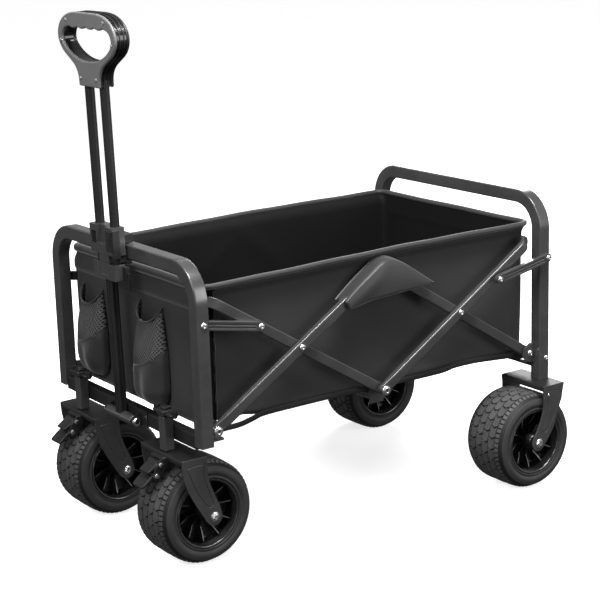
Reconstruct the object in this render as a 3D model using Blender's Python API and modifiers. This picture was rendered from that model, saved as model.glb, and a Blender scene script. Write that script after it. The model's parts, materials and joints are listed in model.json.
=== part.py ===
"""Folding camp wagon: steel hoops and scissor side braces, fabric tub, swivel front
wheels, fixed rear wheels and a telescoping pull handle.

Frame: +Z up, the wagon's nose (handle end) towards -X, left side towards -Y, metres.
Positions below are given from the middle of the wheelbase; the whole model hangs on one
empty that is shifted so that the origin is the bottom centre of its box.
"""
import math

import bmesh
import bpy
from mathutils import Matrix, Vector

# ---------------------------------------------------------------- driving dimensions
X_SHIFT = 0.01857            # brings the middle of the box to x = 0

# scissor braces (side view, x and z)
PIVOT_X = 0.360              # lower hinges are at x = -PIVOT_X and +PIVOT_X
PIVOT_Z = 0.2575
APEX_RISE = 0.2268           # the upper middle hinge above the lower ones
BRACE_W = 0.019
BRACE = math.hypot(PIVOT_X, APEX_RISE)          # hinge to hinge
REST = math.atan2(APEX_RISE, PIVOT_X)
LINK_AT = 0.0983             # link rivet, from the crossing rivet along the brace
LINK_POST = (0.385, 0.446)   # link rivet on the hoop upright (x, z)
TIP_AT = 0.402               # where a long brace bends inwards, from its lower hinge
INNER = (0.2242, 0.2362)     # |y| of the inner brace layer
OUTER = (0.2382, 0.2502)     # |y| of the outer brace layer

# hoops: 25 mm square tube
TUBE = 0.025
HOOP_X = 0.3835
HOOP_HALF = 0.244            # centre line
HOOP_R = 0.058
FRONT_TOP, REAR_TOP = 0.538, 0.5573
FRONT_FOOT, REAR_FOOT = 0.233, 0.2045

# wheels
WHEEL_R = 0.0945
WHEEL_HALF = 0.0525
SIDES = 36
AXLE_Z = WHEEL_R * math.cos(math.pi / SIDES)    # so that a flat of the tread rests at z = 0
RIM_R = 0.0632
CASTER_Y, CASTER_X, CASTER_AXLE = 0.153, -0.4035, -0.356
REAR_Y, REAR_AXLE = 0.236, 0.334
FORK_T = 0.0035

# handle
HANDLE_X, HANDLE_Z = -0.405, 0.234
LEAN = math.radians(1.2)
STEM_TOP = 0.275
TWIN_Y, TWIN_R = 0.0265, 0.0085

# fabric tub
TUB_FRONT, TUB_REAR = -0.366, 0.3655
TUB_BOTTOM, TUB_RIM = 0.2545, 0.5105

# ---------------------------------------------------------------- scene and helpers
for old in list(bpy.data.objects):
    bpy.data.objects.remove(old, do_unlink=True)

PARTS = bpy.data.collections.new("folding_camp_wagon")
CUTTERS = bpy.data.collections.new("cutters")
bpy.context.scene.collection.children.link(PARTS)
bpy.context.scene.collection.children.link(CUTTERS)


def material(name, color, roughness, metallic):
    mat = bpy.data.materials.new(name)
    mat.use_nodes = True
    node = mat.node_tree.nodes["Principled BSDF"]
    node.inputs["Base Color"].default_value = (*color, 1)
    node.inputs["Roughness"].default_value = roughness
    node.inputs["Metallic"].default_value = metallic
    return mat


STEEL = material("powder_coated_steel", (0.075, 0.073, 0.075), 0.42, 0.35)
BLACK = material("black_moulded_plastic", (0.018, 0.018, 0.019), 0.4, 0.0)
GREY = material("grey_moulded_plastic", (0.17, 0.165, 0.17), 0.45, 0.0)
RUBBER = material("tyre_rubber", (0.03, 0.03, 0.031), 0.7, 0.0)
ZINC = material("zinc_plated_steel", (0.75, 0.75, 0.76), 0.25, 1.0)
CLOTH = material("charcoal_polyester", (0.035, 0.035, 0.038), 0.85, 0.0)
MESH = material("pocket_mesh", (0.04, 0.04, 0.042), 0.8, 0.0)
WEB = material("webbing", (0.022, 0.022, 0.024), 0.75, 0.0)

ROOT = bpy.data.objects.new("wagon_origin", None)
ROOT.location = (X_SHIFT, 0, 0)
PARTS.objects.link(ROOT)
AT = {ROOT.name: Vector((0, 0, 0))}


def pivot(name, at, parent=None):
    """An empty on a joint's axis, hung on the empty of the body that carries it."""
    parent = parent or ROOT
    empty = bpy.data.objects.new(name, None)
    empty.empty_display_size = 0.03
    empty.parent = parent
    empty.location = Vector(at) - AT[parent.name]
    AT[empty.name] = Vector(at)
    PARTS.objects.link(empty)
    return empty


def helper(mesh, name="cutter"):
    obj = bpy.data.objects.new(name, mesh)
    obj.parent = ROOT
    obj.hide_render = True
    obj.display_type = "WIRE"
    CUTTERS.objects.link(obj)
    return obj


def from_bmesh(bm, name="shape"):
    bmesh.ops.recalc_face_normals(bm, faces=bm.faces)
    mesh = bpy.data.meshes.new(name)
    bm.to_mesh(mesh)
    bm.free()
    return mesh


def block(lo, hi, bevel=0.0, segments=2, turn=None):
    """A box between two corners, with rounded edges; turn is a matrix applied after."""
    bm = bmesh.new()
    bmesh.ops.create_cube(bm, size=1.0)
    lo, hi = Vector(lo), Vector(hi)
    size = hi - lo
    bmesh.ops.scale(bm, vec=size, verts=bm.verts)
    if bevel:
        bmesh.ops.bevel(bm, geom=list(bm.edges), offset=bevel, segments=segments,
                        profile=0.5, affect="EDGES", clamp_overlap=True)
    bmesh.ops.translate(bm, vec=(lo + hi) / 2, verts=bm.verts)
    if turn is not None:
        bmesh.ops.transform(bm, matrix=turn, verts=bm.verts)
    return from_bmesh(bm, "block")


def rod(a, b, r, sides=12, r2=None, turn=None):
    """A round bar from a to b."""
    a, b = Vector(a), Vector(b)
    bm = bmesh.new()
    bmesh.ops.create_cone(bm, cap_ends=True, segments=sides, radius1=r,
                          radius2=r if r2 is None else r2, depth=(b - a).length)
    spin = (b - a).to_track_quat("Z", "Y").to_matrix().to_4x4()
    bmesh.ops.transform(bm, matrix=Matrix.Translation((a + b) / 2) @ spin, verts=bm.verts)
    if turn is not None:
        bmesh.ops.transform(bm, matrix=turn, verts=bm.verts)
    return from_bmesh(bm, "rod")


XZ = Matrix(((1, 0, 0, 0), (0, 0, -1, 0), (0, 1, 0, 0), (0, 0, 0, 1)))    # outline (x, z)
YZ = Matrix(((0, 0, 1, 0), (1, 0, 0, 0), (0, 1, 0, 0), (0, 0, 0, 1)))     # outline (y, z)
XY = Matrix.Identity(4)


def to_mesh(obj, matrix):
    """The evaluated curve as a mesh with its caps welded on, moved by matrix."""
    bpy.context.view_layer.update()
    graph = bpy.context.evaluated_depsgraph_get()
    mesh = bpy.data.meshes.new_from_object(obj.evaluated_get(graph))
    bm = bmesh.new()
    bm.from_mesh(mesh)
    bmesh.ops.remove_doubles(bm, verts=bm.verts, dist=1e-6)
    bmesh.ops.transform(bm, matrix=matrix, verts=bm.verts)
    data = obj.data
    bpy.data.objects.remove(obj, do_unlink=True)
    bpy.data.curves.remove(data)
    bpy.data.meshes.remove(mesh)
    return from_bmesh(bm, "from_curve")


def plate(points, lo, hi, plane=XZ, bevel=0.0, segments=1, holes=()):
    """A flat outline given as points, thick from lo to hi across its plane."""
    curve = bpy.data.curves.new("outline", "CURVE")
    curve.dimensions = "2D"
    curve.fill_mode = "BOTH"
    curve.extrude = (hi - lo) / 2
    for loop in (points, *holes):
        spline = curve.splines.new("POLY")
        spline.points.add(len(loop) - 1)
        for point, (x, y) in zip(spline.points, loop):
            point.co = (x, y, 0, 1)
        spline.use_cyclic_u = True
    obj = bpy.data.objects.new("outline", curve)
    bpy.context.scene.collection.objects.link(obj)
    # XZ turns local +Z towards -Y, so its thickness runs the other way
    middle = -(lo + hi) / 2 if plane is XZ else (lo + hi) / 2
    mesh = to_mesh(obj, plane @ Matrix.Translation((0, 0, middle)))
    if bevel:
        bm = bmesh.new()
        bm.from_mesh(mesh)
        bmesh.ops.dissolve_limit(bm, angle_limit=0.001, verts=bm.verts, edges=bm.edges)
        sharp = [e for e in bm.edges if len(e.link_faces) == 2
                 and math.degrees(e.calc_face_angle(0)) > 75
                 and any(len(f.verts) > 4 for f in e.link_faces)]
        bmesh.ops.bevel(bm, geom=sharp, offset=bevel, segments=segments, profile=0.5,
                        affect="EDGES", clamp_overlap=True)
        mesh = from_bmesh(bm, "plate")
    return mesh


def section(w, h, r, n=3):
    """A rounded rectangle's points, w across and h high."""
    points = []
    for cx, cy, start in ((w / 2 - r, h / 2 - r, 0), (-w / 2 + r, h / 2 - r, 90),
                          (-w / 2 + r, -h / 2 + r, 180), (w / 2 - r, -h / 2 + r, 270)):
        for i in range(n):
            a = math.radians(start + 90 * i / (n - 1))
            points.append((cx + r * math.cos(a), cy + r * math.sin(a)))
    return points


def sweep(path, w, h, r, plane=XY, offset=0.0, cyclic=False, n=3):
    """A tube of rounded rectangular section along a path lying in a plane."""
    profile = bpy.data.curves.new("section", "CURVE")
    profile.dimensions = "2D"
    spline = profile.splines.new("POLY")
    points = section(w, h, r, n)
    spline.points.add(len(points) - 1)
    for point, (x, y) in zip(spline.points, points):
        point.co = (x, y, 0, 1)
    spline.use_cyclic_u = True
    shape = bpy.data.objects.new("section", profile)
    bpy.context.scene.collection.objects.link(shape)
    curve = bpy.data.curves.new("path", "CURVE")
    curve.dimensions = "2D"
    curve.fill_mode = "NONE"
    curve.bevel_mode = "OBJECT"
    curve.bevel_object = shape
    curve.use_fill_caps = not cyclic
    spline = curve.splines.new("POLY")
    spline.points.add(len(path) - 1)
    for point, (x, y) in zip(spline.points, path):
        point.co = (x, y, 0, 1)
    spline.use_cyclic_u = cyclic
    obj = bpy.data.objects.new("path", curve)
    bpy.context.scene.collection.objects.link(obj)
    mesh = to_mesh(obj, plane @ Matrix.Translation((0, 0, offset)))
    bpy.data.objects.remove(shape, do_unlink=True)
    bpy.data.curves.remove(profile)
    return mesh


def part(name, mesh, mat, parent=None, joins=(), cuts=()):
    """A named piece: its mesh in wagon positions, its origin on its parent's pivot."""
    parent = parent or ROOT
    obj = bpy.data.objects.new(name, mesh)
    obj.parent = parent
    PARTS.objects.link(obj)
    mesh.materials.clear()
    mesh.materials.append(mat)
    mesh.transform(Matrix.Translation(-AT[parent.name]))
    mesh.shade_smooth()
    mesh.set_sharp_from_angle(angle=math.radians(35))
    for kind, group in (("UNION", joins), ("DIFFERENCE", cuts)):
        for i, other in enumerate(group):
            mod = obj.modifiers.new(f"{kind.lower()}_{i}", "BOOLEAN")
            mod.operation = kind
            mod.solver = "EXACT"
            mod.object = helper(other, f"{name}_{kind.lower()}_{i}")
    return obj


def arc(cx, cy, r, a0, a1, n):
    """Points on an arc, angles in degrees."""
    return [(cx + r * math.cos(math.radians(a0 + (a1 - a0) * i / n)),
             cy + r * math.sin(math.radians(a0 + (a1 - a0) * i / n))) for i in range(n + 1)]


def stadium(a, b, w, n=6):
    """A strip with round ends between two points in the side view."""
    ax, az = a
    bx, bz = b
    angle = math.degrees(math.atan2(bz - az, bx - ax))
    return (arc(bx, bz, w / 2, angle - 90, angle + 90, n)
            + arc(ax, az, w / 2, angle + 90, angle + 270, n))


def along(a, b, distance):
    """The point at a distance from a towards b."""
    t = distance / math.hypot(b[0] - a[0], b[1] - a[1])
    return (a[0] + (b[0] - a[0]) * t, a[1] + (b[1] - a[1]) * t)


def ys(side, lo, hi):
    """The interval |y| lo..hi on one side, in rising order."""
    return (lo, hi) if side > 0 else (-hi, -lo)


def bar_y(side, x, z, lo, hi, r, sides=12):
    """A pin along Y at a side view point, from |y| = lo to hi."""
    return rod((x, side * lo, z), (x, side * hi, z), r, sides)


# ---------------------------------------------------------------- key points, side view
FB = (-PIVOT_X, PIVOT_Z)
C = (0.0, PIVOT_Z)
RB = (PIVOT_X, PIVOT_Z)
T = (0.0, PIVOT_Z + APEX_RISE)
M = ((FB[0] + T[0]) / 2, (FB[1] + T[1]) / 2)
M2 = (-M[0], M[1])
FLIP = (-1.0, 1.0)
Q = (M[0] - LINK_AT * math.cos(REST), M[1] + LINK_AT * math.sin(REST))
Q2 = (-Q[0], Q[1])
P = (-LINK_POST[0], LINK_POST[1])
P2 = (LINK_POST[0], LINK_POST[1])
TIP = along(C, Q, TIP_AT)
TIP2 = (-TIP[0], TIP[1])

# pivots, hung on each other the way the bodies are
piv = {}
for side, tag in ((-1, "left"), (1, "right")):
    y = side * 0.237
    piv["fo" + tag] = pivot(f"pivot_front_foot_{tag}", (FB[0], y, FB[1]))
    piv["fi" + tag] = pivot(f"pivot_front_crossing_{tag}", (M[0], y, M[1]), piv["fo" + tag])
    piv["ri" + tag] = pivot(f"pivot_apex_{tag}", (T[0], y, T[1]), piv["fo" + tag])
    piv["ro" + tag] = pivot(f"pivot_rear_crossing_{tag}", (M2[0], y, M2[1]), piv["ri" + tag])
    piv["lf" + tag] = pivot(f"pivot_front_link_{tag}", (P[0], y, P[1]))
piv["beam"] = pivot("pivot_centre_beam", (C[0], -0.237, C[1]), piv["fileft"])
REAR = piv["rear"] = pivot("pivot_rear_frame", (RB[0], -0.237, RB[1]), piv["rileft"])
for side, tag in ((-1, "left"), (1, "right")):
    piv["lr" + tag] = pivot(f"pivot_rear_link_{tag}", (P2[0], side * 0.261, P2[1]), REAR)

# ---------------------------------------------------------------- hoops


def hoop_path(foot, top):
    h, r = HOOP_HALF, HOOP_R
    return ([(-h, foot)] + arc(-h + r, top - r, r, 180, 90, 7)
            + arc(h - r, top - r, r, 90, 0, 7) + [(h, foot)])


def rivet(side, x, z, face, proud=0.0032, r=0.0062, sides=10):
    """A domed rivet head on the outside face at |y| = face, sunk 1 mm into it."""
    return rod((x, side * (face - 0.001), z), (x, side * (face + proud), z), r, sides, r * 0.6)


pins, slots = [], []
for side in (-1, 1):
    lo, hi = ys(side, 0.2374, 0.2510)
    slots.append(block((-0.3958 + 0.0006, lo, P[1] - 0.0135), (-0.365, hi, P[1] + 0.050)))
    pins += [bar_y(side, P[0], P[1], 0.2355, 0.2540, 0.003, 10), rivet(side, P[0], P[1], 0.2565)]
front = sweep(hoop_path(FRONT_FOOT, FRONT_TOP), TUBE, TUBE, 0.0045, YZ, -HOOP_X)
hoop = part("front_hoop", front, STEEL)
for i, (kind, other) in enumerate([("DIFFERENCE", s) for s in slots] + [("UNION", s) for s in pins]):
    mod = hoop.modifiers.new(f"step_{i}", "BOOLEAN")
    mod.operation = kind
    mod.object = helper(other, f"front_hoop_{kind.lower()}_{i}")

pins = []
for side in (-1, 1):
    pins += [bar_y(side, P2[0], P2[1], 0.2550, 0.2670, 0.003, 10),
             rod((P2[0], side * 0.2662, P2[1]), (P2[0], side * 0.2694, P2[1]), 0.0062, 10, 0.004),
             rivet(side, 0.3885, 0.2462, 0.2565)]
part("rear_hoop", sweep(hoop_path(REAR_FOOT, REAR_TOP), TUBE, TUBE, 0.0045, YZ, HOOP_X), STEEL,
     REAR, joins=pins)

# lower cross bars between the uprights
BAR_IN = HOOP_HALF - TUBE / 2 - 0.0003
part("front_crossbar", block((-0.3930, -BAR_IN, 0.2262), (-0.3740, BAR_IN, 0.2525), 0.0025), STEEL)
part("rear_crossbar", block((0.3720, -BAR_IN, 0.2262), (0.3950, BAR_IN, 0.2505), 0.0025), STEEL,
     REAR)

# ---------------------------------------------------------------- foot brackets with their pins
for side, tag in ((-1, "left"), (1, "right")):
    # front: a cheek behind the outer brace, a web on the upright, and the rivet
    cheek = [(-0.3707, 0.2400), (-0.3707, 0.2770), (-0.3620, 0.2770), (-0.3470, 0.2680),
             (-0.3440, 0.2540), (-0.3500, 0.2440), (-0.3580, 0.2400)]
    lo, hi = ys(side, 0.2322, 0.2374)
    part(f"front_foot_bracket_{tag}", plate(cheek, lo, hi), STEEL, joins=[
        block((-0.3707, *ys(side, 0.2330, 0.2515)[:1], 0.2402),
              (-0.3480, ys(side, 0.2330, 0.2515)[1], 0.2442), 0.0008, 1),
        bar_y(side, FB[0], FB[1], 0.2350, 0.2520, 0.0040, 12),
        rod((FB[0], side * 0.2508, FB[1]), (FB[0], side * 0.2552, FB[1]), 0.0088, 12, 0.0060),
    ])
    # rear: a cheek outside the inner brace, with the pin running inwards
    cheek = [(-x, z) for x, z in cheek][::-1]
    lo, hi = ys(side, 0.2376, 0.2424)
    part(f"rear_foot_bracket_{tag}", plate(cheek, lo, hi), STEEL, REAR, joins=[
        block((0.3480, ys(side, 0.2250, 0.2420)[0], 0.2402),
              (0.3707, ys(side, 0.2250, 0.2420)[1], 0.2442), 0.0008, 1),
        bar_y(side, RB[0], RB[1], 0.2230, 0.2400, 0.0040, 12),
        rod((RB[0], side * 0.2238, RB[1]), (RB[0], side * 0.2214, RB[1]), 0.0066, 12),
    ])

# ---------------------------------------------------------------- scissor braces


def brace(name, side, layer, a, b, parent, holes=(), joins=(), tip=None):
    """A flat oval tube between two side view points; holes are (point, radius)."""
    lo, hi = ys(side, *layer)
    body = plate(stadium(a, b, BRACE_W, 5), lo, hi, bevel=0.0030, segments=1)
    joins = list(joins)
    if tip:
        joins.append(tip)
    cuts = [rod((x, side * 0.21, z), (x, side * 0.27, z), r, 12) for (x, z), r in holes]
    return part(name, body, STEEL, parent, joins=joins, cuts=cuts)


def bent_tip(side, at, ends, layer, inwards):
    """The flattened end of a long brace, bent towards the fabric."""
    mid = side * (layer[0] + layer[1]) / 2
    direction = Vector((ends[0] - at[0], 0, ends[1] - at[1])).normalized()
    start = Vector((at[0], mid, at[1])) - direction * 0.006
    end = Vector((ends[0], mid - side * inwards, ends[1]))
    run = end - start
    x_axis = run.normalized()
    z_axis = x_axis.cross(Vector((0, 1, 0))).normalized()
    y_axis = z_axis.cross(x_axis)
    turn = Matrix((x_axis, y_axis, z_axis)).transposed().to_4x4()
    turn.translation = start
    return block((0, -0.0045, -BRACE_W / 2 + 0.0005), (run.length, 0.0045, BRACE_W / 2 - 0.0005),
                 0.003, 1, turn)


def riveted(side, at, inner_face, outer_face, r=0.0032, head=0.0062):
    """A rivet through two layers: shank, tail inside and head outside."""
    return [rod((at[0], side * (inner_face - 0.0016), at[1]),
                (at[0], side * (inner_face - 0.0002), at[1]), 0.0052, 10),
            bar_y(side, at[0], at[1], inner_face - 0.0010, outer_face + 0.0010, r, 10),
            rod((at[0], side * (outer_face - 0.0010), at[1]),
                (at[0], side * (outer_face + 0.0028), at[1]), head, 10, head * 0.6)]


HOLE = 0.0037
for side, tag in ((-1, "left"), (1, "right")):
    # front outer brace: foot to apex; carries the crossing rivet and the apex rivet
    brace(f"brace_front_outer_{tag}", side, OUTER, FB, T, piv["fo" + tag],
          holes=[(FB, 0.0046)],
          joins=riveted(side, M, INNER[0], OUTER[1]) + riveted(side, T, INNER[0], OUTER[1]))
    # front inner brace: centre hinge up to the front corner; a boss takes the link's rivet
    end = (TIP[0] - 0.0190, TIP[1] + 0.0090)
    brace(f"brace_front_inner_{tag}", side, INNER, C, TIP, piv["fi" + tag],
          holes=[(M, HOLE), (C, 0.0046)],
          joins=[bar_y(side, Q[0], Q[1], INNER[1] - 0.001, 0.2378, 0.0065, 12)],
          tip=bent_tip(side, TIP, end, INNER, 0.0080))
    # rear inner brace: apex to rear foot
    brace(f"brace_rear_inner_{tag}", side, INNER, T, RB, piv["ri" + tag],
          holes=[(T, HOLE), (RB, 0.0046)],
          joins=[rod((M2[0], side * (INNER[0] - 0.0016), M2[1]),
                     (M2[0], side * (INNER[0] + 0.001), M2[1]), 0.0052, 10),
                 bar_y(side, M2[0], M2[1], INNER[0] + 0.001, OUTER[1] + 0.0014, 0.0032, 10),
                 rod((M2[0], side * (OUTER[1] + 0.0005), M2[1]),
                     (M2[0], side * (OUTER[1] + 0.0037), M2[1]), 0.0062, 10, 0.0038)])
    # rear outer brace: centre hinge up to the rear corner; a boss takes the rear link's rivet
    end = (TIP2[0] + 0.0150, TIP2[1] + 0.0130)
    brace(f"brace_rear_outer_{tag}", side, OUTER, C, TIP2, piv["ro" + tag],
          holes=[(M2, HOLE), (C, 0.0046)],
          joins=[bar_y(side, Q2[0], Q2[1], OUTER[1] - 0.001, 0.2566, 0.0065, 12)],
          tip=bent_tip(side, TIP2, end, OUTER, 0.0100))

# ---------------------------------------------------------------- grooved links
LINK_W = 0.0165


def link(name, side, a, b, lo, hi, parent):
    face_lo, face_hi = ys(side, lo, hi)
    body = plate(stadium(a, b, LINK_W), face_lo, face_hi, bevel=0.0016, segments=1)
    direction = Vector((b[0] - a[0], b[1] - a[1])).normalized()
    inner_a = (a[0] + direction.x * 0.013, a[1] + direction.y * 0.013)
    inner_b = (b[0] - direction.x * 0.013, b[1] - direction.y * 0.013)
    groove_lo, groove_hi = ys(side, hi - 0.0018, hi + 0.004)
    groove = plate(stadium(inner_a, inner_b, 0.0060, 3), groove_lo, groove_hi)
    hole = rod((a[0], side * 0.21, a[1]), (a[0], side * 0.28, a[1]), 0.0035, 12)
    head = rod((b[0], side * (hi - 0.001), b[1]), (b[0], side * (hi + 0.0034), b[1]), 0.0062, 10,
               0.0040)
    obj = part(name, body, STEEL, parent, joins=[head])
    for i, cutter in enumerate((groove, hole)):
        mod = obj.modifiers.new(f"cut_{i}", "BOOLEAN")
        mod.operation = "DIFFERENCE"
        mod.object = helper(cutter, f"{name}_cut_{i}")
    return obj


for side, tag in ((-1, "left"), (1, "right")):
    link(f"link_front_{tag}", side, P, Q, 0.2384, 0.2500, piv["lf" + tag])
    link(f"link_rear_{tag}", side, P2, Q2, 0.2570, 0.2656, piv["lr" + tag])

# ---------------------------------------------------------------- centre beam and its hinge pins
pieces = []
for side in (-1, 1):
    lo, hi = ys(side, 0.2207, 0.2237)
    pieces.append(plate([(-0.015, 0.228), (0.015, 0.228), (0.015, 0.256), (0.010, 0.266),
                         (-0.010, 0.266), (-0.015, 0.256)], lo, hi))
    pieces.append(bar_y(side, C[0], C[1], 0.2222, 0.2520, 0.0040, 12))
    pieces.append(rod((C[0], side * 0.2510, C[1]), (C[0], side * 0.2552, C[1]), 0.0088, 12, 0.006))
part("centre_beam", rod((0, -0.222, 0.240), (0, 0.222, 0.240), 0.0098, 16), STEEL, piv["beam"],
     joins=pieces)

# ---------------------------------------------------------------- wheels


def turned(name, profile, steps, mat, parent, at, phase=0.0):
    """A closed profile of (radius, axial) points turned about the Y axis."""
    mesh = bpy.data.meshes.new(name)
    bm = bmesh.new()
    verts = [bm.verts.new((r, 0, z)) for r, z in profile]
    for i, vert in enumerate(verts):
        bm.edges.new((vert, verts[(i + 1) % len(verts)]))
    bm.to_mesh(mesh)
    bm.free()
    obj = bpy.data.objects.new(name, mesh)
    PARTS.objects.link(obj)
    obj.parent = parent
    obj.location = Vector(at) - AT[parent.name]
    obj.rotation_euler = (math.radians(90), phase, 0)
    mesh.materials.append(mat)
    screw = obj.modifiers.new("turn", "SCREW")
    screw.axis = "Z"
    screw.angle = math.tau
    screw.steps = screw.render_steps = steps
    screw.use_merge_vertices = True
    screw.merge_threshold = 0.00001
    screw.use_smooth_shade = True
    return obj


TYRE = [(0.0635, 0.0480), (0.0720, 0.0525), (0.0860, 0.0505), (0.0922, 0.0430),
        (0.0945, 0.0340), (0.0945, -0.0340), (0.0922, -0.0430), (0.0860, -0.0505),
        (0.0720, -0.0525), (0.0635, -0.0480)]
RIM = [(RIM_R, 0.0495), (RIM_R, -0.0495), (0.0578, -0.0495), (0.0560, -0.0140), (0.0165, -0.0100),
       (0.0150, -0.0540), (0.0057, -0.0540), (0.0057, 0.0540), (0.0150, 0.0540), (0.0165, 0.0100),
       (0.0560, 0.0140), (0.0578, 0.0495)]


def wheel(where, at, parent):
    axle = pivot(f"axle_{where}", at, parent)
    # half a step of turn puts a flat of the tread, not a ridge, on the ground
    turned(f"tyre_{where}", TYRE, SIDES, RUBBER, axle, at, math.pi / 2 + math.pi / SIDES)
    turned(f"rim_{where}", RIM, 24, BLACK, axle, at)


def axle_bolt(name, at, reach, parent):
    x, y, z = at
    part(name, rod((x, y - reach, z), (x, y + reach, z), 0.0050, 12), ZINC, parent, joins=[
        rod((x, y - reach - 0.0055, z), (x, y - reach + 0.0005, z), 0.0088, 6),
        rod((x, y + reach - 0.0005, z), (x, y + reach + 0.0055, z), 0.0088, 6)])


# ---------------------------------------------------------------- front casters
POST_H = 0.010
FRONT_ARM = ([(-0.4165, 0.2070), (-0.4155, 0.1880), (-0.4122, 0.1687), (-0.4060, 0.1500),
              (-0.3973, 0.1324), (-0.3880, 0.1160), (-0.3715, 0.0880)]
             + arc(CASTER_AXLE, AXLE_Z, 0.0160, 215, 370, 6)
             + [(-0.3440, 0.1120), (-0.3500, 0.1260), (-0.3570, 0.1427), (-0.3630, 0.1600),
                (-0.3660, 0.1760), (-0.3660, 0.2070)])
HALF_PLATE = 0.069
PEDAL_UP, PEDAL_LOW = (-0.4285, 0.1915), (-0.4375, 0.1735)


def pad(name, at, length, slope, lo, hi, parent):
    """A foot pad: a rounded slab reaching forward and down from its own barrel."""
    turn = (Matrix.Translation((at[0], 0, at[1]))
            @ Matrix.Rotation(math.radians(-slope), 4, "Y"))
    slab = block((-length, lo, -0.0030), (-0.0005, hi, 0.0030), 0.0024, 2, turn)
    return part(name, slab, BLACK, parent,
                joins=[rod((at[0], lo, at[1]), (at[0], hi - 0.001, at[1]), 0.0047, 12)],
                cuts=[rod((at[0], lo - 0.01, at[1]), (at[0], hi + 0.01, at[1]), 0.0024, 10)])


for side, tag in ((-1, "left"), (1, "right")):
    yc = side * CASTER_Y
    swivel = pivot(f"pivot_swivel_{tag}", (CASTER_X, yc, 0.208))
    # the square post in front of the cross bar, bored for the swivel stud
    part(f"caster_post_{tag}",
         block((CASTER_X - POST_H, yc - POST_H, 0.2086), (CASTER_X + POST_H, yc + POST_H, 0.2720),
               0.002, 1), STEEL,
         cuts=[rod((CASTER_X, yc, 0.200), (CASTER_X, yc, 0.2460), 0.0064, 12)])
    cap = block((CASTER_X - 0.0125, yc - 0.0125, 0.2723), (CASTER_X + 0.0125, yc + 0.0125, 0.2830),
                0.002, 1)
    part(f"caster_post_cap_{tag}", cap, BLACK, joins=[
        block((CASTER_X - 0.0085, yc - 0.0315, 0.2742), (CASTER_X + 0.0085, yc + 0.0315, 0.2800),
              0.0022, 1),
        rod((CASTER_X, yc - 0.0285, 0.2732), (CASTER_X, yc - 0.0285, 0.2850), 0.0062, 8),
        rod((CASTER_X, yc + 0.0285, 0.2732), (CASTER_X, yc + 0.0285, 0.2850), 0.0062, 8),
        block((CASTER_X - 0.0075, yc - 0.0075, 0.2820), (CASTER_X + 0.0075, yc + 0.0075, 0.2880),
              0.0015, 1)])
    # fork: top plate with a turned-down lip, two arms, the swivel stud and the brake lug
    lip = block((-0.4172, yc - HALF_PLATE + 0.0010, 0.1985), (-0.4142, yc + HALF_PLATE - 0.0010, 0.2076))
    joins = [lip,
             plate(FRONT_ARM, yc - HALF_PLATE, yc - HALF_PLATE + FORK_T, bevel=0.0006),
             plate(FRONT_ARM, yc + HALF_PLATE - FORK_T, yc + HALF_PLATE, bevel=0.0006),
             rod((CASTER_X, yc, 0.2060), (CASTER_X, yc, 0.2420), 0.0060, 12),
             plate([(-0.4140, 0.2060), (-0.4280, 0.2005), (-0.4400, 0.1860), (-0.4440, 0.1700),
                    (-0.4320, 0.1640), (-0.4140, 0.1880)], yc - 0.0185, yc - 0.0145)]
    for x, z in (PEDAL_UP, PEDAL_LOW):
        joins.append(rod((x, yc - 0.0150, z), (x, yc + 0.0210, z), 0.0020, 10))
        joins.append(rod((x, yc - 0.0205, z), (x, yc - 0.0180, z), 0.0045, 10, 0.0030))
    bore = [rod((CASTER_AXLE, yc - 0.08, AXLE_Z), (CASTER_AXLE, yc + 0.08, AXLE_Z), 0.0054, 12)]
    part(f"caster_fork_{tag}",
         block((-0.4160, yc - HALF_PLATE + 0.0005, 0.2042), (-0.3655, yc + HALF_PLATE - 0.0005, 0.2080)),
         STEEL, swivel, joins=joins, cuts=bore)
    up = pivot(f"pivot_brake_release_{tag}", (PEDAL_UP[0], yc, PEDAL_UP[1]), swivel)
    low = pivot(f"pivot_brake_pedal_{tag}", (PEDAL_LOW[0], yc, PEDAL_LOW[1]), swivel)
    pad(f"brake_release_{tag}", PEDAL_UP, 0.0265, 28, yc - 0.0138, yc + 0.0175, up)
    pad(f"brake_pedal_{tag}", PEDAL_LOW, 0.0330, 35, yc - 0.0138, yc + 0.0215, low)
    at = (CASTER_AXLE, yc, AXLE_Z)
    wheel(f"front_{tag}", at, swivel)
    axle_bolt(f"axle_bolt_front_{tag}", at, HALF_PLATE + 0.0006, swivel)

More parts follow.
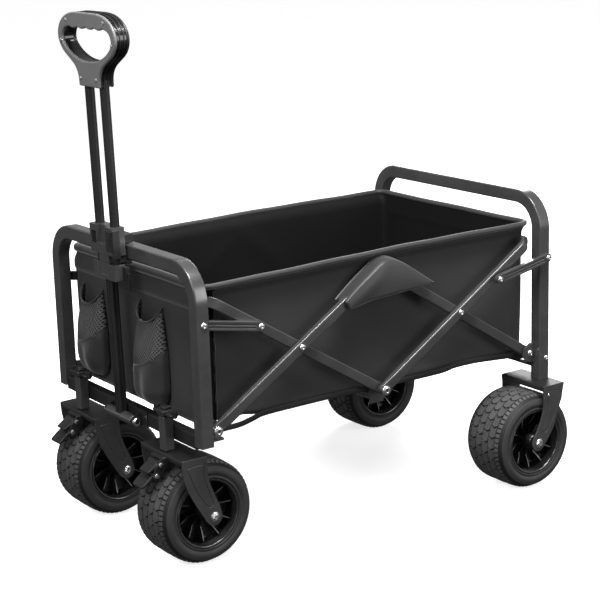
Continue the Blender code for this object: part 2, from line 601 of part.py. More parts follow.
# ---------------------------------------------------------------- rear forks
REAR_HALF = 0.060
REAR_ARM = ([(0.3460, 0.2030), (0.3468, 0.1850), (0.3470, 0.1680), (0.3445, 0.1510),
             (0.3390, 0.1350), (0.3310, 0.1190), (0.3200, 0.1020)]
            + arc(REAR_AXLE, AXLE_Z, 0.0155, 160, 330, 6)
            + [(0.3600, 0.1010), (0.3730, 0.1200), (0.3800, 0.1400), (0.3880, 0.1600),
               (0.3935, 0.1750), (0.3960, 0.1900), (0.3990, 0.2030)])
for side, tag in ((-1, "left"), (1, "right")):
    yc = side * REAR_Y
    bore = [rod((REAR_AXLE, yc - 0.08, AXLE_Z), (REAR_AXLE, yc + 0.08, AXLE_Z), 0.0054, 12)]
    part(f"rear_fork_{tag}",
         block((0.3462, yc - REAR_HALF + 0.0005, 0.2002), (0.3988, yc + REAR_HALF - 0.0005, 0.2040)),
         STEEL, REAR, joins=[
             block((0.3452, yc - REAR_HALF + 0.0010, 0.1945), (0.3484, yc + REAR_HALF - 0.0010, 0.2036)),
             plate(REAR_ARM, yc - REAR_HALF, yc - REAR_HALF + FORK_T, bevel=0.0006),
             plate(REAR_ARM, yc + REAR_HALF - FORK_T, yc + REAR_HALF, bevel=0.0006),
             rod((0.3585, yc + side * (REAR_HALF - 0.001), 0.1860),
                 (0.3585, yc + side * (REAR_HALF + 0.0018), 0.1860), 0.0030, 8)],
         cuts=bore)
    at = (REAR_AXLE, yc, AXLE_Z)
    wheel(f"rear_{tag}", at, REAR)
    axle_bolt(f"axle_bolt_rear_{tag}", at, REAR_HALF + 0.0006, REAR)

# ---------------------------------------------------------------- handle
HINGE = pivot("pivot_handle", (HANDLE_X, 0, HANDLE_Z))
UPPER = pivot("slide_handle", (HANDLE_X, 0, HANDLE_Z), HINGE)
H = Matrix.Translation((HANDLE_X, 0, HANDLE_Z)) @ Matrix.Rotation(-LEAN, 4, "Y")


def hm(mesh):
    """Moves a mesh from the handle's own frame (z up along it, from its hinge) to its place."""
    mesh.transform(H)
    return mesh


# hinge bracket on the cross bar, with the pin through the handle's sleeve
part("handle_hinge_bracket", block((-0.3947, -0.072, 0.2240), (-0.3932, 0.072, 0.2545), 0.0004, 1),
     STEEL, joins=[
    plate([(-0.3940, 0.2250), (-0.3940, 0.2480), (-0.4010, 0.2470), (-0.4130, 0.2400),
           (-0.4130, 0.2290), (-0.4060, 0.2240)], 0.0455, 0.0490),
    plate([(-0.3940, 0.2250), (-0.3940, 0.2480), (-0.4010, 0.2470), (-0.4130, 0.2400),
           (-0.4130, 0.2290), (-0.4060, 0.2240)], -0.0490, -0.0455),
    rod((HANDLE_X, -0.0530, HANDLE_Z), (HANDLE_X, 0.0530, HANDLE_Z), 0.0038, 12),
    rod((HANDLE_X, -0.0560, HANDLE_Z), (HANDLE_X, -0.0485, HANDLE_Z), 0.0072, 12, 0.0072),
    rod((HANDLE_X, 0.0560, HANDLE_Z), (HANDLE_X, 0.0485, HANDLE_Z), 0.0066, 6),
])
# stem: the sleeve and the single lower tube, fluted on its front
lower = block((-0.0080, -0.0100, 0.0020), (0.0080, 0.0100, STEM_TOP), 0.0030)
lower.transform(H)
part("handle_stem", lower, STEEL, HINGE,
     joins=[hm(rod((0, -0.0448, 0), (0, 0.0448, 0), 0.0098, 16))],
     cuts=[hm(rod((0, -0.06, 0), (0, 0.06, 0), 0.0042, 12))]
     + [hm(block((-0.0120, y - 0.0014, 0.016), (-0.0068, y + 0.0014, 0.246))) for y in (-0.0040, 0.0040)])
# lower collar: holds the stem's top and lets the twin tubes slide through
collar = hm(block((-0.0135, -0.0390, 0.2540), (0.0090, 0.0390, 0.2840), 0.0025, 1))
part("handle_collar", collar, BLACK, HINGE,
     joins=[hm(block((0.0020, -0.0500, 0.2560), (0.0105, -0.0370, 0.2800), 0.0015, 1)),
            hm(block((0.0040, -0.0535, 0.2400), (0.0085, -0.0490, 0.2700), 0.0012, 1))],
     cuts=[hm(block((-0.0083, -0.0103, 0.2400), (0.0083, 0.0103, STEM_TOP + 0.0004)))]
     + [hm(rod((0, y, 0.24), (0, y, 0.30), TWIN_R + 0.0004, 16)) for y in (-TWIN_Y, TWIN_Y)])
# clip: a yoke round the twin tubes whose jaws hold the front hoop's top bar
clip = hm(block((-0.0145, -0.0400, 0.3000), (0.0105, 0.0400, 0.3500), 0.0025, 1))
part("handle_clip", clip, BLACK, HINGE,
     joins=[hm(block((-0.0110, -0.0060, 0.2863), (0.0050, 0.0060, 0.3040), 0.0010, 1)),
            block((-0.4060, -0.0300, 0.5522), (-0.3790, 0.0300, 0.5680), 0.0020, 1),
            block((-0.4012, -0.0360, 0.5165), (-0.3870, 0.0360, 0.5238), 0.0012, 1),
            hm(block((-0.0020, -0.0380, 0.2867), (0.0132, -0.0200, 0.3020), 0.0010, 1)),
            hm(block((-0.0020, 0.0200, 0.2867), (0.0132, 0.0380, 0.3020), 0.0010, 1))],
     cuts=[hm(rod((0, y, 0.26), (0, y, 0.37), TWIN_R + 0.0004, 16)) for y in (-TWIN_Y, TWIN_Y)]
     + [hm(block((-0.0200, y - 0.0095, 0.3140), (-0.0030, y + 0.0095, 0.3380)))
        for y in (-TWIN_Y, TWIN_Y)])
# twin upper tubes
for y, tag in ((-TWIN_Y, "left"), (TWIN_Y, "right")):
    part(f"handle_tube_{tag}", hm(rod((0, y, 0.2575), (0, y, 0.6150), TWIN_R, 16)), STEEL, UPPER,
         cuts=[hm(block((-0.0100, y - 0.0011, 0.262), (-0.0074, y + 0.0011, 0.585)))])

# D-grip: two shells, face to face, with sockets for the tubes
G = HANDLE_Z                                     # heights below are from the ground
outline = [(0.0000, 0.9510), (0.0400, 0.9505), (0.0660, 0.9460), (0.0860, 0.9365),
           (0.0985, 0.9215), (0.1010, 0.9060), (0.0955, 0.8920), (0.0830, 0.8800),
           (0.0620, 0.8680), (0.0470, 0.8580), (0.0385, 0.8460), (0.0360, 0.8350),
           (0.0360, 0.8250)]
window = [(0.0610, 0.9260), (0.0760, 0.9210), (0.0845, 0.9110), (0.0850, 0.9010),
          (0.0770, 0.8920), (0.0620, 0.8820), (0.0420, 0.8740), (0.0200, 0.8695), (0.0, 0.8685)]


def both(points):
    """A half outline on +y, given from the top or upper corner down, closed by its mirror."""
    left = [(-y, z) for y, z in reversed(points) if y > 1e-6]
    return points + left


grooves = []                                     # four shallow finger grooves
for i in range(17):
    y = 0.0540 - 0.1080 * i / 16
    grooves.append((y, 0.9252 - 0.0028 * abs(math.sin(math.pi * i / 4))))
hole = [(p[0], p[1]) for p in window] + [(-p[0], p[1]) for p in reversed(window) if p[0] > 1e-6]
hole = hole + grooves[::-1]
shells = {}
for tag, lo, hi, mat in (("front", -0.0150, -0.00025, GREY), ("rear", 0.00025, 0.0150, BLACK)):
    def local(points):
        return [(y, z - G) for y, z in points]
    bm = bmesh.new()
    bm.from_mesh(plate(local(both(outline)), lo, hi, YZ))
    bmesh.ops.dissolve_limit(bm, angle_limit=0.001, verts=bm.verts, edges=bm.edges)
    face = lo if tag == "front" else hi
    rim_edges = [e for e in bm.edges if all(abs(v.co.x - face) < 1e-5 for v in e.verts)]
    bmesh.ops.bevel(bm, geom=rim_edges, offset=0.0028, segments=2, profile=0.5, affect="EDGES",
                    clamp_overlap=True)
    part(f"grip_shell_{tag}", hm(from_bmesh(bm, "grip")), mat, UPPER,
         cuts=[hm(plate(local(hole), -0.02, 0.02, YZ))]
         + [hm(rod((0, y, 0.55), (0, y, 0.6155), TWIN_R + 0.0004, 16))
            for y in (-TWIN_Y, TWIN_Y)])

# ---------------------------------------------------------------- fabric tub


def rounded(x0, x1, half, r, n=4):
    """A rounded rectangle's outline seen from above."""
    points = []
    for cx, cy, start in ((x1 - r, half - r, 0), (x0 + r, half - r, 90),
                          (x0 + r, -half + r, 180), (x1 - r, -half + r, 270)):
        points += arc(cx, cy, r, start, start + 90, n)
    return points


def lofted(rings, thickness):
    """An open-topped shell: the first ring is the floor, and each next ring is pulled up."""
    bm = bmesh.new()
    verts = [bm.verts.new((x, y, rings[0][0])) for x, y in rings[0][1]]
    bm.faces.new(verts)
    edges = list(bm.edges)
    for z, points in rings[1:]:
        result = bmesh.ops.extrude_edge_only(bm, edges=edges)
        new = [v for v in result["geom"] if isinstance(v, bmesh.types.BMVert)]
        edges = [e for e in result["geom"] if isinstance(e, bmesh.types.BMEdge)
                 and all(v in new for v in e.verts)]
        lower = {v: min((o for e in v.link_edges for o in e.verts if o not in new),
                        key=lambda o: (o.co - v.co).length) for v in new}
        order = {v: i for i, v in enumerate(verts)}
        nxt = [None] * len(points)
        for v in new:
            i = order[lower[v]]
            v.co = (*points[i], z)
            nxt[i] = v
        verts = nxt
    bmesh.ops.recalc_face_normals(bm, faces=bm.faces)
    mesh = bpy.data.meshes.new("shell")
    bm.to_mesh(mesh)
    bm.free()
    return mesh


rings = [(TUB_BOTTOM, rounded(TUB_FRONT, TUB_REAR, 0.2160, 0.024)),
         (0.4960, rounded(TUB_FRONT, TUB_REAR + 0.003, 0.2185, 0.024)),
         (TUB_RIM, rounded(TUB_FRONT, TUB_REAR + 0.0035, 0.2295, 0.026))]
tub = part("fabric_tub", lofted(rings, 0.003), CLOTH)
wall = tub.modifiers.new("cloth", "SOLIDIFY")
wall.thickness = 0.0035
wall.offset = -1.0
wall.use_even_offset = True
roll = sweep(rounded(TUB_FRONT, TUB_REAR + 0.0035, 0.2295, 0.026), 0.0130, 0.0130, 0.0045,
             XY, TUB_RIM, cyclic=True)
mod = tub.modifiers.new("hem", "BOOLEAN")
mod.operation = "UNION"
mod.object = helper(roll, "fabric_tub_hem")

# cup pockets on the front panel: pouches, open on top
for tag, yc in (("left", -0.066), ("right", 0.145)):
    def pouch(half, depth, n=8):
        back = TUB_FRONT - 0.0045
        points = [(back, yc + half), (back, yc - half)]
        for i in range(1, n):
            a = math.pi * i / n
            points.append((back - depth * math.sin(a) ** 0.8, yc - half * math.cos(a)))
        return points
    rings = [(0.2700, pouch(0.028, 0.008)), (0.2920, pouch(0.043, 0.0155)),
             (0.3300, pouch(0.049, 0.0285)), (0.3900, pouch(0.048, 0.028)),
             (0.4400, pouch(0.044, 0.022))]
    pocket = part(f"cup_pocket_{tag}", lofted(rings, 0.002), MESH)
    wall = pocket.modifiers.new("cloth", "SOLIDIFY")
    wall.thickness = 0.0020
    wall.offset = -1.0
    wall.use_even_offset = True

# webbing along the tub's lower edges, from the front foot to the rear foot
for side, tag in ((-1, "left"), (1, "right")):
    lo, hi = ys(side, 0.2175, 0.2203)
    centre = [(-0.3420, 0.2475), (-0.3000, 0.2490), (-0.2550, 0.2580), (-0.2000, 0.2585),
              (0.2300, 0.2585), (0.2800, 0.2570), (0.3390, 0.2520)]
    half = 0.0050
    strip = [(x, z + half) for x, z in centre] + [(x, z - half) for x, z in reversed(centre)]
    part(f"lower_webbing_{tag}", plate(strip, lo, hi), WEB)
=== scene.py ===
"""Folding camp wagon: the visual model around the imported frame."""
import json
import math
import random

import bmesh
import bpy
from mathutils import Matrix, Vector, noise

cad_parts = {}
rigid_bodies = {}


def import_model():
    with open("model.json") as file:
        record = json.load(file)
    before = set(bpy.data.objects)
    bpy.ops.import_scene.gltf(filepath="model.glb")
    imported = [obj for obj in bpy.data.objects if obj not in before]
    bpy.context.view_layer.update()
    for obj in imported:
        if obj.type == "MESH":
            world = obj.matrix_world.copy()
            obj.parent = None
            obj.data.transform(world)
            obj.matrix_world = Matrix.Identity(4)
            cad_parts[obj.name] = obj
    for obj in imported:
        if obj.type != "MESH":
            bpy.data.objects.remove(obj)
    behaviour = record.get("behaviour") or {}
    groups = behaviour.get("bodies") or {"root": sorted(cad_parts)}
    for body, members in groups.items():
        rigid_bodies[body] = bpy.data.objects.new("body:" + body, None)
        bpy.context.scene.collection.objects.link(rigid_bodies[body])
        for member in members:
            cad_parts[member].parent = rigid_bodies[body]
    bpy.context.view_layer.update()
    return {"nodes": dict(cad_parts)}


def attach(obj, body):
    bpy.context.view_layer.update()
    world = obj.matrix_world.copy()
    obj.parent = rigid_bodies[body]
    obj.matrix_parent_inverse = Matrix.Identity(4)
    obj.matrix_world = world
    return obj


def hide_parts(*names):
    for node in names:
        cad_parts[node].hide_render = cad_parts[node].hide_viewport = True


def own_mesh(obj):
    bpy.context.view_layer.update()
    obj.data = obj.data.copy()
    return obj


for old in list(bpy.data.objects):
    bpy.data.objects.remove(old, do_unlink=True)
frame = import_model()
NODES = frame["nodes"]
S = 0.01857                       # working x to row x
PX, PZ, RISE = 0.360, 0.2575, 0.2268
BRACE = math.hypot(PX, RISE)
REST = math.atan2(RISE, PX)
WHEEL_R = 0.0945
AXLE_Z = WHEEL_R * math.cos(math.pi / 36)
CASTER_Y, CASTER_X, CASTER_AXLE = 0.153, -0.4035, -0.356
REAR_Y, REAR_AXLE = 0.236, 0.334
SIDES = ((-1, "left"), (1, "right"))

# ------------------------------------------------------------------ materials


def new_material(name):
    mat = bpy.data.materials.new(name)
    mat.use_nodes = True
    tree = mat.node_tree
    return mat, tree, tree.nodes["Principled BSDF"]


def add(tree, kind, **values):
    node = tree.nodes.new(kind)
    for key, value in values.items():
        if key in node.inputs:
            node.inputs[key].default_value = value
        else:
            setattr(node, key, value)
    return node


def coords(tree, scale=(1, 1, 1), rotation=(0, 0, 0)):
    coord = tree.nodes.new("ShaderNodeTexCoord")
    mapping = tree.nodes.new("ShaderNodeMapping")
    mapping.inputs["Scale"].default_value = scale
    mapping.inputs["Rotation"].default_value = rotation
    tree.links.new(coord.outputs["Object"], mapping.inputs["Vector"])
    return mapping.outputs["Vector"]


def noise_of(tree, vector, scale, detail=3.0, rough=0.55):
    node = add(tree, "ShaderNodeTexNoise", Scale=scale, Detail=detail, Roughness=rough)
    tree.links.new(vector, node.inputs["Vector"])
    return node.outputs["Fac"]


def ramp(tree, fac, stops):
    node = tree.nodes.new("ShaderNodeValToRGB")
    elements = node.color_ramp.elements
    while len(elements) > len(stops):
        elements.remove(elements[-1])
    while len(elements) < len(stops):
        elements.new(1.0)
    for element, (place, color) in zip(elements, stops):
        element.position = place
        element.color = (*color, 1) if len(color) == 3 else color
    tree.links.new(fac, node.inputs["Fac"])
    return node.outputs["Color"]


def math_node(tree, op, a, b=None, clamp=False):
    node = tree.nodes.new("ShaderNodeMath")
    node.operation = op
    node.use_clamp = clamp
    for socket, value in zip(node.inputs, (a, b)):
        if value is None:
            continue
        if isinstance(value, (int, float)):
            socket.default_value = value
        else:
            tree.links.new(value, socket)
    return node.outputs[0]


def bump(tree, bsdf, height, strength, distance):
    node = add(tree, "ShaderNodeBump", Strength=strength, Distance=distance)
    tree.links.new(height, node.inputs["Height"])
    tree.links.new(node.outputs["Normal"], bsdf.inputs["Normal"])


def coated(name, dark, light, rough=(0.34, 0.48), metallic=0.0, peel=700.0, strength=0.12,
           spec=0.5):
    """Powder coat, moulded plastic or metal: uneven colour and roughness with a fine grain."""
    mat, tree, bsdf = new_material(name)
    vector = coords(tree)
    cloud = noise_of(tree, vector, 22.0, 4.0)
    color = ramp(tree, cloud, [(0.3, dark), (0.72, light)])
    tree.links.new(color, bsdf.inputs["Base Color"])
    grain = noise_of(tree, vector, peel, 2.0)
    span = math_node(tree, "MULTIPLY", noise_of(tree, vector, 60.0, 3.0), rough[1] - rough[0])
    tree.links.new(math_node(tree, "ADD", span, rough[0]), bsdf.inputs["Roughness"])
    bsdf.inputs["Metallic"].default_value = metallic
    bsdf.inputs["Specular IOR Level"].default_value = spec
    bump(tree, bsdf, grain, strength, 0.0004)
    return mat


STEEL = coated("powder_coated_steel", (0.036, 0.0348, 0.0354), (0.052, 0.0503, 0.0510),
               (0.20, 0.30), 0.0, 900.0, 0.08, 0.7)
STEEL_DARK = coated("powder_coated_steel_dark", (0.010, 0.010, 0.0105), (0.016, 0.0155, 0.016),
                    (0.38, 0.5), 0.15, 900.0, 0.10, 0.4)
PLASTIC = coated("black_moulded_plastic", (0.010, 0.010, 0.011), (0.017, 0.017, 0.018),
                 (0.34, 0.46), 0.0, 1200.0, 0.08, 0.4)
GLOSS = coated("glossy_black_plastic", (0.006, 0.006, 0.007), (0.010, 0.010, 0.011),
               (0.14, 0.22), 0.0, 500.0, 0.03, 0.5)
GREY = coated("satin_grey_plastic", (0.135, 0.131, 0.133), (0.165, 0.160, 0.162),
              (0.36, 0.46), 0.0, 1400.0, 0.08, 0.5)
ZINC = coated("zinc_plate", (0.62, 0.62, 0.64), (0.80, 0.80, 0.81), (0.18, 0.34), 1.0, 800.0, 0.06)
HUB = coated("black_hub_plastic", (0.004, 0.004, 0.0045), (0.007, 0.007, 0.0075),
             (0.22, 0.34), 0.0, 900.0, 0.05, 0.35)
# painted highlight: light grey for the highlights along the outer edges of the hub fins
FIN_EDGE_PAINTED_HIGHLIGHT = coated("hub_fin_edge_painted_highlight", (0.10, 0.10, 0.102), (0.16, 0.16, 0.163), (0.25, 0.4), 0.0, 900.0, 0.05)


def rubber(name, dark, light):
    mat, tree, bsdf = new_material(name)
    vector = coords(tree)
    tree.links.new(ramp(tree, noise_of(tree, vector, 35.0, 4.0), [(0.3, dark), (0.75, light)]),
                   bsdf.inputs["Base Color"])
    bsdf.inputs["Roughness"].default_value = 0.62
    bsdf.inputs["Specular IOR Level"].default_value = 0.35
    bump(tree, bsdf, noise_of(tree, vector, 900.0, 2.0), 0.25, 0.0004)
    return mat


# one rubber in three copies: the sidewall; the tread blocks, made lighter as a painted highlight; the groove floor,
# made near-black as painted shade
TYRE = rubber("tyre_rubber", (0.026, 0.0255, 0.026), (0.040, 0.039, 0.040))
TREAD_PAINTED_HIGHLIGHT = rubber("tread_rubber_painted_highlight", (0.050, 0.0485, 0.050), (0.072, 0.070, 0.072))
GROOVE_PAINTED_SHADE = rubber("tread_groove_painted_shade", (0.0045, 0.0045, 0.0047), (0.0075, 0.0075, 0.0078))
# painted highlight: the rim flange is lighter than the black hub for the highlight along its edge; its lower roughness
# is its real gloss
RIM_EDGE_PAINTED_HIGHLIGHT = coated("rim_edge_painted_highlight", (0.022, 0.022, 0.0225), (0.032, 0.032, 0.0325), (0.12, 0.2), 0.0, 700.0, 0.03, 0.8)


def cloth(name, dark, light, weave=1500.0, rough=0.72, sheen=0.25, spec=0.25):
    """Woven polyester: two crossed thread directions in the bump, with clouded colour."""
    mat, tree, bsdf = new_material(name)
    vector = coords(tree)
    parts = tree.nodes.new("ShaderNodeSeparateXYZ")
    tree.links.new(vector, parts.inputs[0])
    flat = math_node(tree, "ADD", parts.outputs[0], parts.outputs[1])
    warp = math_node(tree, "SINE", math_node(tree, "MULTIPLY", flat, weave * 2.2))
    weft = math_node(tree, "SINE", math_node(tree, "MULTIPLY", parts.outputs[2], weave * 2.2))
    threads = math_node(tree, "MULTIPLY", warp, weft)
    threads = math_node(tree, "ADD", math_node(tree, "MULTIPLY", threads, 0.5), 0.5)
    cloud = noise_of(tree, vector, 7.0, 5.0)
    mixed = math_node(tree, "ADD", math_node(tree, "MULTIPLY", cloud, 0.88),
                      math_node(tree, "MULTIPLY", threads, 0.12))
    tree.links.new(ramp(tree, mixed, [(0.28, dark), (0.78, light)]), bsdf.inputs["Base Color"])
    bsdf.inputs["Roughness"].default_value = rough
    bsdf.inputs["Specular IOR Level"].default_value = spec
    bsdf.inputs["Sheen Weight"].default_value = sheen
    bsdf.inputs["Sheen Roughness"].default_value = 0.45
    soft = math_node(tree, "ADD", math_node(tree, "MULTIPLY", threads, 0.35),
                     noise_of(tree, vector, 240.0, 3.0))
    bump(tree, bsdf, soft, 0.22, 0.0006)
    return mat


CLOTH = cloth("charcoal_polyester", (0.0120, 0.0119, 0.0126), (0.0190, 0.0187, 0.0197), rough=0.60, spec=0.32)
# painted shade: the lining is made far darker than the outer cloth for the shade inside the tub
LINING_PAINTED_SHADE = cloth("lining_painted_shade", (0.0022, 0.0021, 0.0022), (0.0042, 0.0041, 0.0042), sheen=0.03, spec=0.14)
BINDING = cloth("hem_binding", (0.014, 0.014, 0.0145), (0.022, 0.022, 0.023), 2400.0, 0.55, 0.35, 0.4)
# painted shade: the side cloth at each front corner is made near-black for the shade where it curves round beside the
# upright
CORNER_STRIP_PAINTED_SHADE = cloth("corner_strip_painted_shade", (0.0022, 0.0022, 0.0024), (0.0038, 0.0038, 0.0041), sheen=0.0, spec=0.08)
POUCH = cloth("pouch_fabric", (0.015, 0.015, 0.0155), (0.025, 0.025, 0.026), 1700.0, 0.38, 0.3, 0.6)
FLAP = cloth("flap_fabric", (0.0125, 0.0123, 0.0128), (0.0200, 0.0196, 0.0204), 1500.0, 0.48, 0.3, 0.4)
WEBBING = cloth("black_webbing", (0.007, 0.007, 0.0075), (0.012, 0.012, 0.013), 2600.0, 0.6, 0.1)


def netting():
    """Diamond net: pale threads over dark, from crossed diagonal waves."""
    mat, tree, bsdf = new_material("pocket_netting")
    vector = coords(tree)
    parts = tree.nodes.new("ShaderNodeSeparateXYZ")
    tree.links.new(vector, parts.inputs[0])
    lines = []
    for sign in (1, -1):
        slope = math_node(tree, "MULTIPLY", parts.outputs[2], sign * 430.0)
        across = math_node(tree, "MULTIPLY", parts.outputs[1], 640.0)
        wave = math_node(tree, "SINE", math_node(tree, "ADD", slope, across))
        lines.append(math_node(tree, "POWER", math_node(tree, "ABSOLUTE", wave), 7.0))
    net = math_node(tree, "MAXIMUM", lines[0], lines[1])
    tree.links.new(ramp(tree, net, [(0.30, (0.003, 0.003, 0.0034)), (0.80, (0.095, 0.095, 0.098))]),
                   bsdf.inputs["Base Color"])
    bsdf.inputs["Roughness"].default_value = 0.6
    bump(tree, bsdf, net, 0.5, 0.0008)
    return mat


NET = netting()

# ------------------------------------------------------------------ mesh helpers


def finish_mesh(bm, name, mat, body, replaces=(), angle=35, smooth=True, shift=True,
                mats=None, flat=False):
    bmesh.ops.recalc_face_normals(bm, faces=bm.faces)
    mesh = bpy.data.meshes.new(name)
    bm.to_mesh(mesh)
    bm.free()
    if shift:
        mesh.transform(Matrix.Translation((S, 0, 0)))
    obj = bpy.data.objects.new(name, mesh)
    bpy.context.scene.collection.objects.link(obj)
    for m in (mats or [mat]):
        mesh.materials.append(m)
    if smooth:
        mesh.shade_smooth()
        mesh.set_sharp_from_angle(angle=math.radians(angle))
    if flat:
        mod = obj.modifiers.new("normals", "WEIGHTED_NORMAL")
        mod.keep_sharp = True
        mod.weight = 100
    if body:
        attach(obj, body)
    if replaces:
        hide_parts(*([replaces] if isinstance(replaces, str) else replaces))
    return obj


def bevelled(obj, width, segments=3, angle=40):
    mod = obj.modifiers.new("bevel", "BEVEL")
    mod.width = width
    mod.segments = segments
    mod.limit_method = "ANGLE"
    mod.angle_limit = math.radians(angle)
    mod.harden_normals = True
    return obj


def rrect(w, h, r, n=5):
    points = []
    for cx, cy, start in ((w / 2 - r, h / 2 - r, 0), (-w / 2 + r, h / 2 - r, 90),
                          (-w / 2 + r, -h / 2 + r, 180), (w / 2 - r, -h / 2 + r, 270)):
        for i in range(n):
            a = math.radians(start + 90 * i / (n - 1))
            points.append((cx + r * math.cos(a), cy + r * math.sin(a)))
    return points


def circle(r, n=16):
    return [(r * math.cos(math.tau * i / n), r * math.sin(math.tau * i / n)) for i in range(n)]


def arc(cx, cy, r, a0, a1, n):
    return [(cx + r * math.cos(math.radians(a0 + (a1 - a0) * i / n)),
             cy + r * math.sin(math.radians(a0 + (a1 - a0) * i / n))) for i in range(n + 1)]


def sweep(bm, path, profile, ref, cyclic=False, caps=True, scales=None):
    """A profile carried along a path; profile x lies across the path, y along ref."""
    ref = Vector(ref).normalized()
    path = [Vector(p) for p in path]
    count = len(path)
    rings = []
    for i, point in enumerate(path):
        if cyclic:
            before, after = path[i - 1], path[(i + 1) % count]
        else:
            before, after = path[max(i - 1, 0)], path[min(i + 1, count - 1)]
        d0 = (point - before).normalized() if (point - before).length > 1e-9 else None
        d1 = (after - point).normalized() if (after - point).length > 1e-9 else None
        d0, d1 = d0 or d1, d1 or d0
        tangent = (d0 + d1).normalized()
        miter = 1 / max(0.5, tangent.dot(d1))
        side = ref.cross(tangent).normalized()
        up = tangent.cross(side).normalized()
        k = scales[i] if scales else 1.0
        rings.append([bm.verts.new(point + side * (x * miter * k) + up * (y * k)) for x, y in profile])
    pairs = list(zip(rings, rings[1:] + rings[:1])) if cyclic else list(zip(rings, rings[1:]))
    for a, b in pairs:
        for j in range(len(profile)):
            bm.faces.new((a[j], a[(j + 1) % len(profile)], b[(j + 1) % len(profile)], b[j]))
    if caps and not cyclic:
        bm.faces.new(rings[0][::-1])
        bm.faces.new(rings[-1])
    return rings


def prism(bm, points, lo, hi, plane="xz"):
    """An outline made thick; plane xz is thick along y, yz along x, xy along z."""
    def put(p, w):
        if plane == "xz":
            return (p[0], w, p[1])
        if plane == "yz":
            return (w, p[0], p[1])
        return (p[0], p[1], w)
    low = [bm.verts.new(put(p, lo)) for p in points]
    high = [bm.verts.new(put(p, hi)) for p in points]
    bm.faces.new(low[::-1])
    bm.faces.new(high)
    for i in range(len(points)):
        j = (i + 1) % len(points)
        bm.faces.new((low[i], low[j], high[j], high[i]))


def turn(bm, profile, centre, steps, axis="y", closed=True):
    """A profile of (radius, along) turned round an axis through centre."""
    cx, cy, cz = centre
    rings = []
    for i in range(steps):
        a = math.tau * i / steps
        ring = []
        for r, w in profile:
            if axis == "y":
                ring.append(bm.verts.new((cx + r * math.cos(a), cy + w, cz + r * math.sin(a))))
            elif axis == "x":
                ring.append(bm.verts.new((cx + w, cy + r * math.cos(a), cz + r * math.sin(a))))
            else:
                ring.append(bm.verts.new((cx + r * math.cos(a), cy + r * math.sin(a), cz + w)))
        rings.append(ring)
    for i in range(steps):
        a, b = rings[i], rings[(i + 1) % steps]
        for j in range(len(profile) if closed else len(profile) - 1):
            k = (j + 1) % len(profile)
            bm.faces.new((a[j], a[k], b[k], b[j]))


def solid_turn(bm, profile, centre, steps, axis="y"):
    """A turned solid whose profile runs from axis to axis: poles are closed by a face."""
    cx, cy, cz = centre
    rings = []
    for r, w in profile:
        ring = []
        for i in range(steps):
            a = math.tau * i / steps
            if axis == "y":
                ring.append(bm.verts.new((cx + r * math.cos(a), cy + w, cz + r * math.sin(a))))
            elif axis == "x":
                ring.append(bm.verts.new((cx + w, cy + r * math.cos(a), cz + r * math.sin(a))))
            else:
                ring.append(bm.verts.new((cx + r * math.cos(a), cy + r * math.sin(a), cz + w)))
        rings.append(ring)
    for a, b in zip(rings, rings[1:]):
        for i in range(steps):
            j = (i + 1) % steps
            bm.faces.new((a[i], a[j], b[j], b[i]))
    bm.faces.new(rings[0][::-1])
    bm.faces.new(rings[-1])


def box(bm, lo, hi):
    prism(bm, [(lo[0], lo[2]), (hi[0], lo[2]), (hi[0], hi[2]), (lo[0], hi[2])], lo[1], hi[1])


def boolean(obj, bm, op="DIFFERENCE", shift=True):
    """Cuts or joins with a helper mesh and applies it, so nothing is left over."""
    bmesh.ops.recalc_face_normals(bm, faces=bm.faces)
    mesh = bpy.data.meshes.new("helper")
    bm.to_mesh(mesh)
    bm.free()
    if shift:
        mesh.transform(Matrix.Translation((S, 0, 0)))
    helper = bpy.data.objects.new("helper", mesh)
    bpy.context.scene.collection.objects.link(helper)
    mod = obj.modifiers.new("bool", "BOOLEAN")
    mod.operation = op
    mod.solver = "EXACT"
    mod.object = helper
    bpy.context.view_layer.update()
    graph = bpy.context.evaluated_depsgraph_get()
    flat = "normals" in obj.modifiers
    result = bpy.data.meshes.new_from_object(obj.evaluated_get(graph))
    obj.modifiers.clear()
    old = obj.data
    obj.data = result
    bpy.data.meshes.remove(old)
    bpy.data.objects.remove(helper)
    obj.data.shade_smooth()
    obj.data.set_sharp_from_angle(angle=math.radians(35))
    if flat:
        obj.data.set_sharp_from_angle(angle=math.radians(60))
        mod = obj.modifiers.new("normals", "WEIGHTED_NORMAL")
        mod.keep_sharp = True
        mod.weight = 100
    return obj


def stadium(a, b, w, n=10):
    angle = math.degrees(math.atan2(b[1] - a[1], b[0] - a[0]))
    return (arc(b[0], b[1], w / 2, angle - 90, angle + 90, n)
            + arc(a[0], a[1], w / 2, angle + 90, angle + 270, n))


def spline(points, per=6, closed=False):
    """Catmull-Rom through 2D or 3D points."""
    n = len(points)
    out = []
    spans = n if closed else n - 1
    for i in range(spans):
        if closed:
            p = [points[(i + k - 1) % n] for k in range(4)]
        else:
            p = [points[max(0, min(n - 1, i + k - 1))] for k in range(4)]
        for j in range(per):
            t = j / per
            out.append(tuple(
                0.5 * (2 * p[1][d] + (p[2][d] - p[0][d]) * t
                       + (2 * p[0][d] - 5 * p[1][d] + 4 * p[2][d] - p[3][d]) * t * t
                       + (-p[0][d] + 3 * p[1][d] - 3 * p[2][d] + p[3][d]) * t ** 3)
                for d in range(len(points[0]))))
    if not closed:
        out.append(tuple(points[-1]))
    return out


def smooth(t):
    t = max(0.0, min(1.0, t))
    return t * t * (3 - 2 * t)


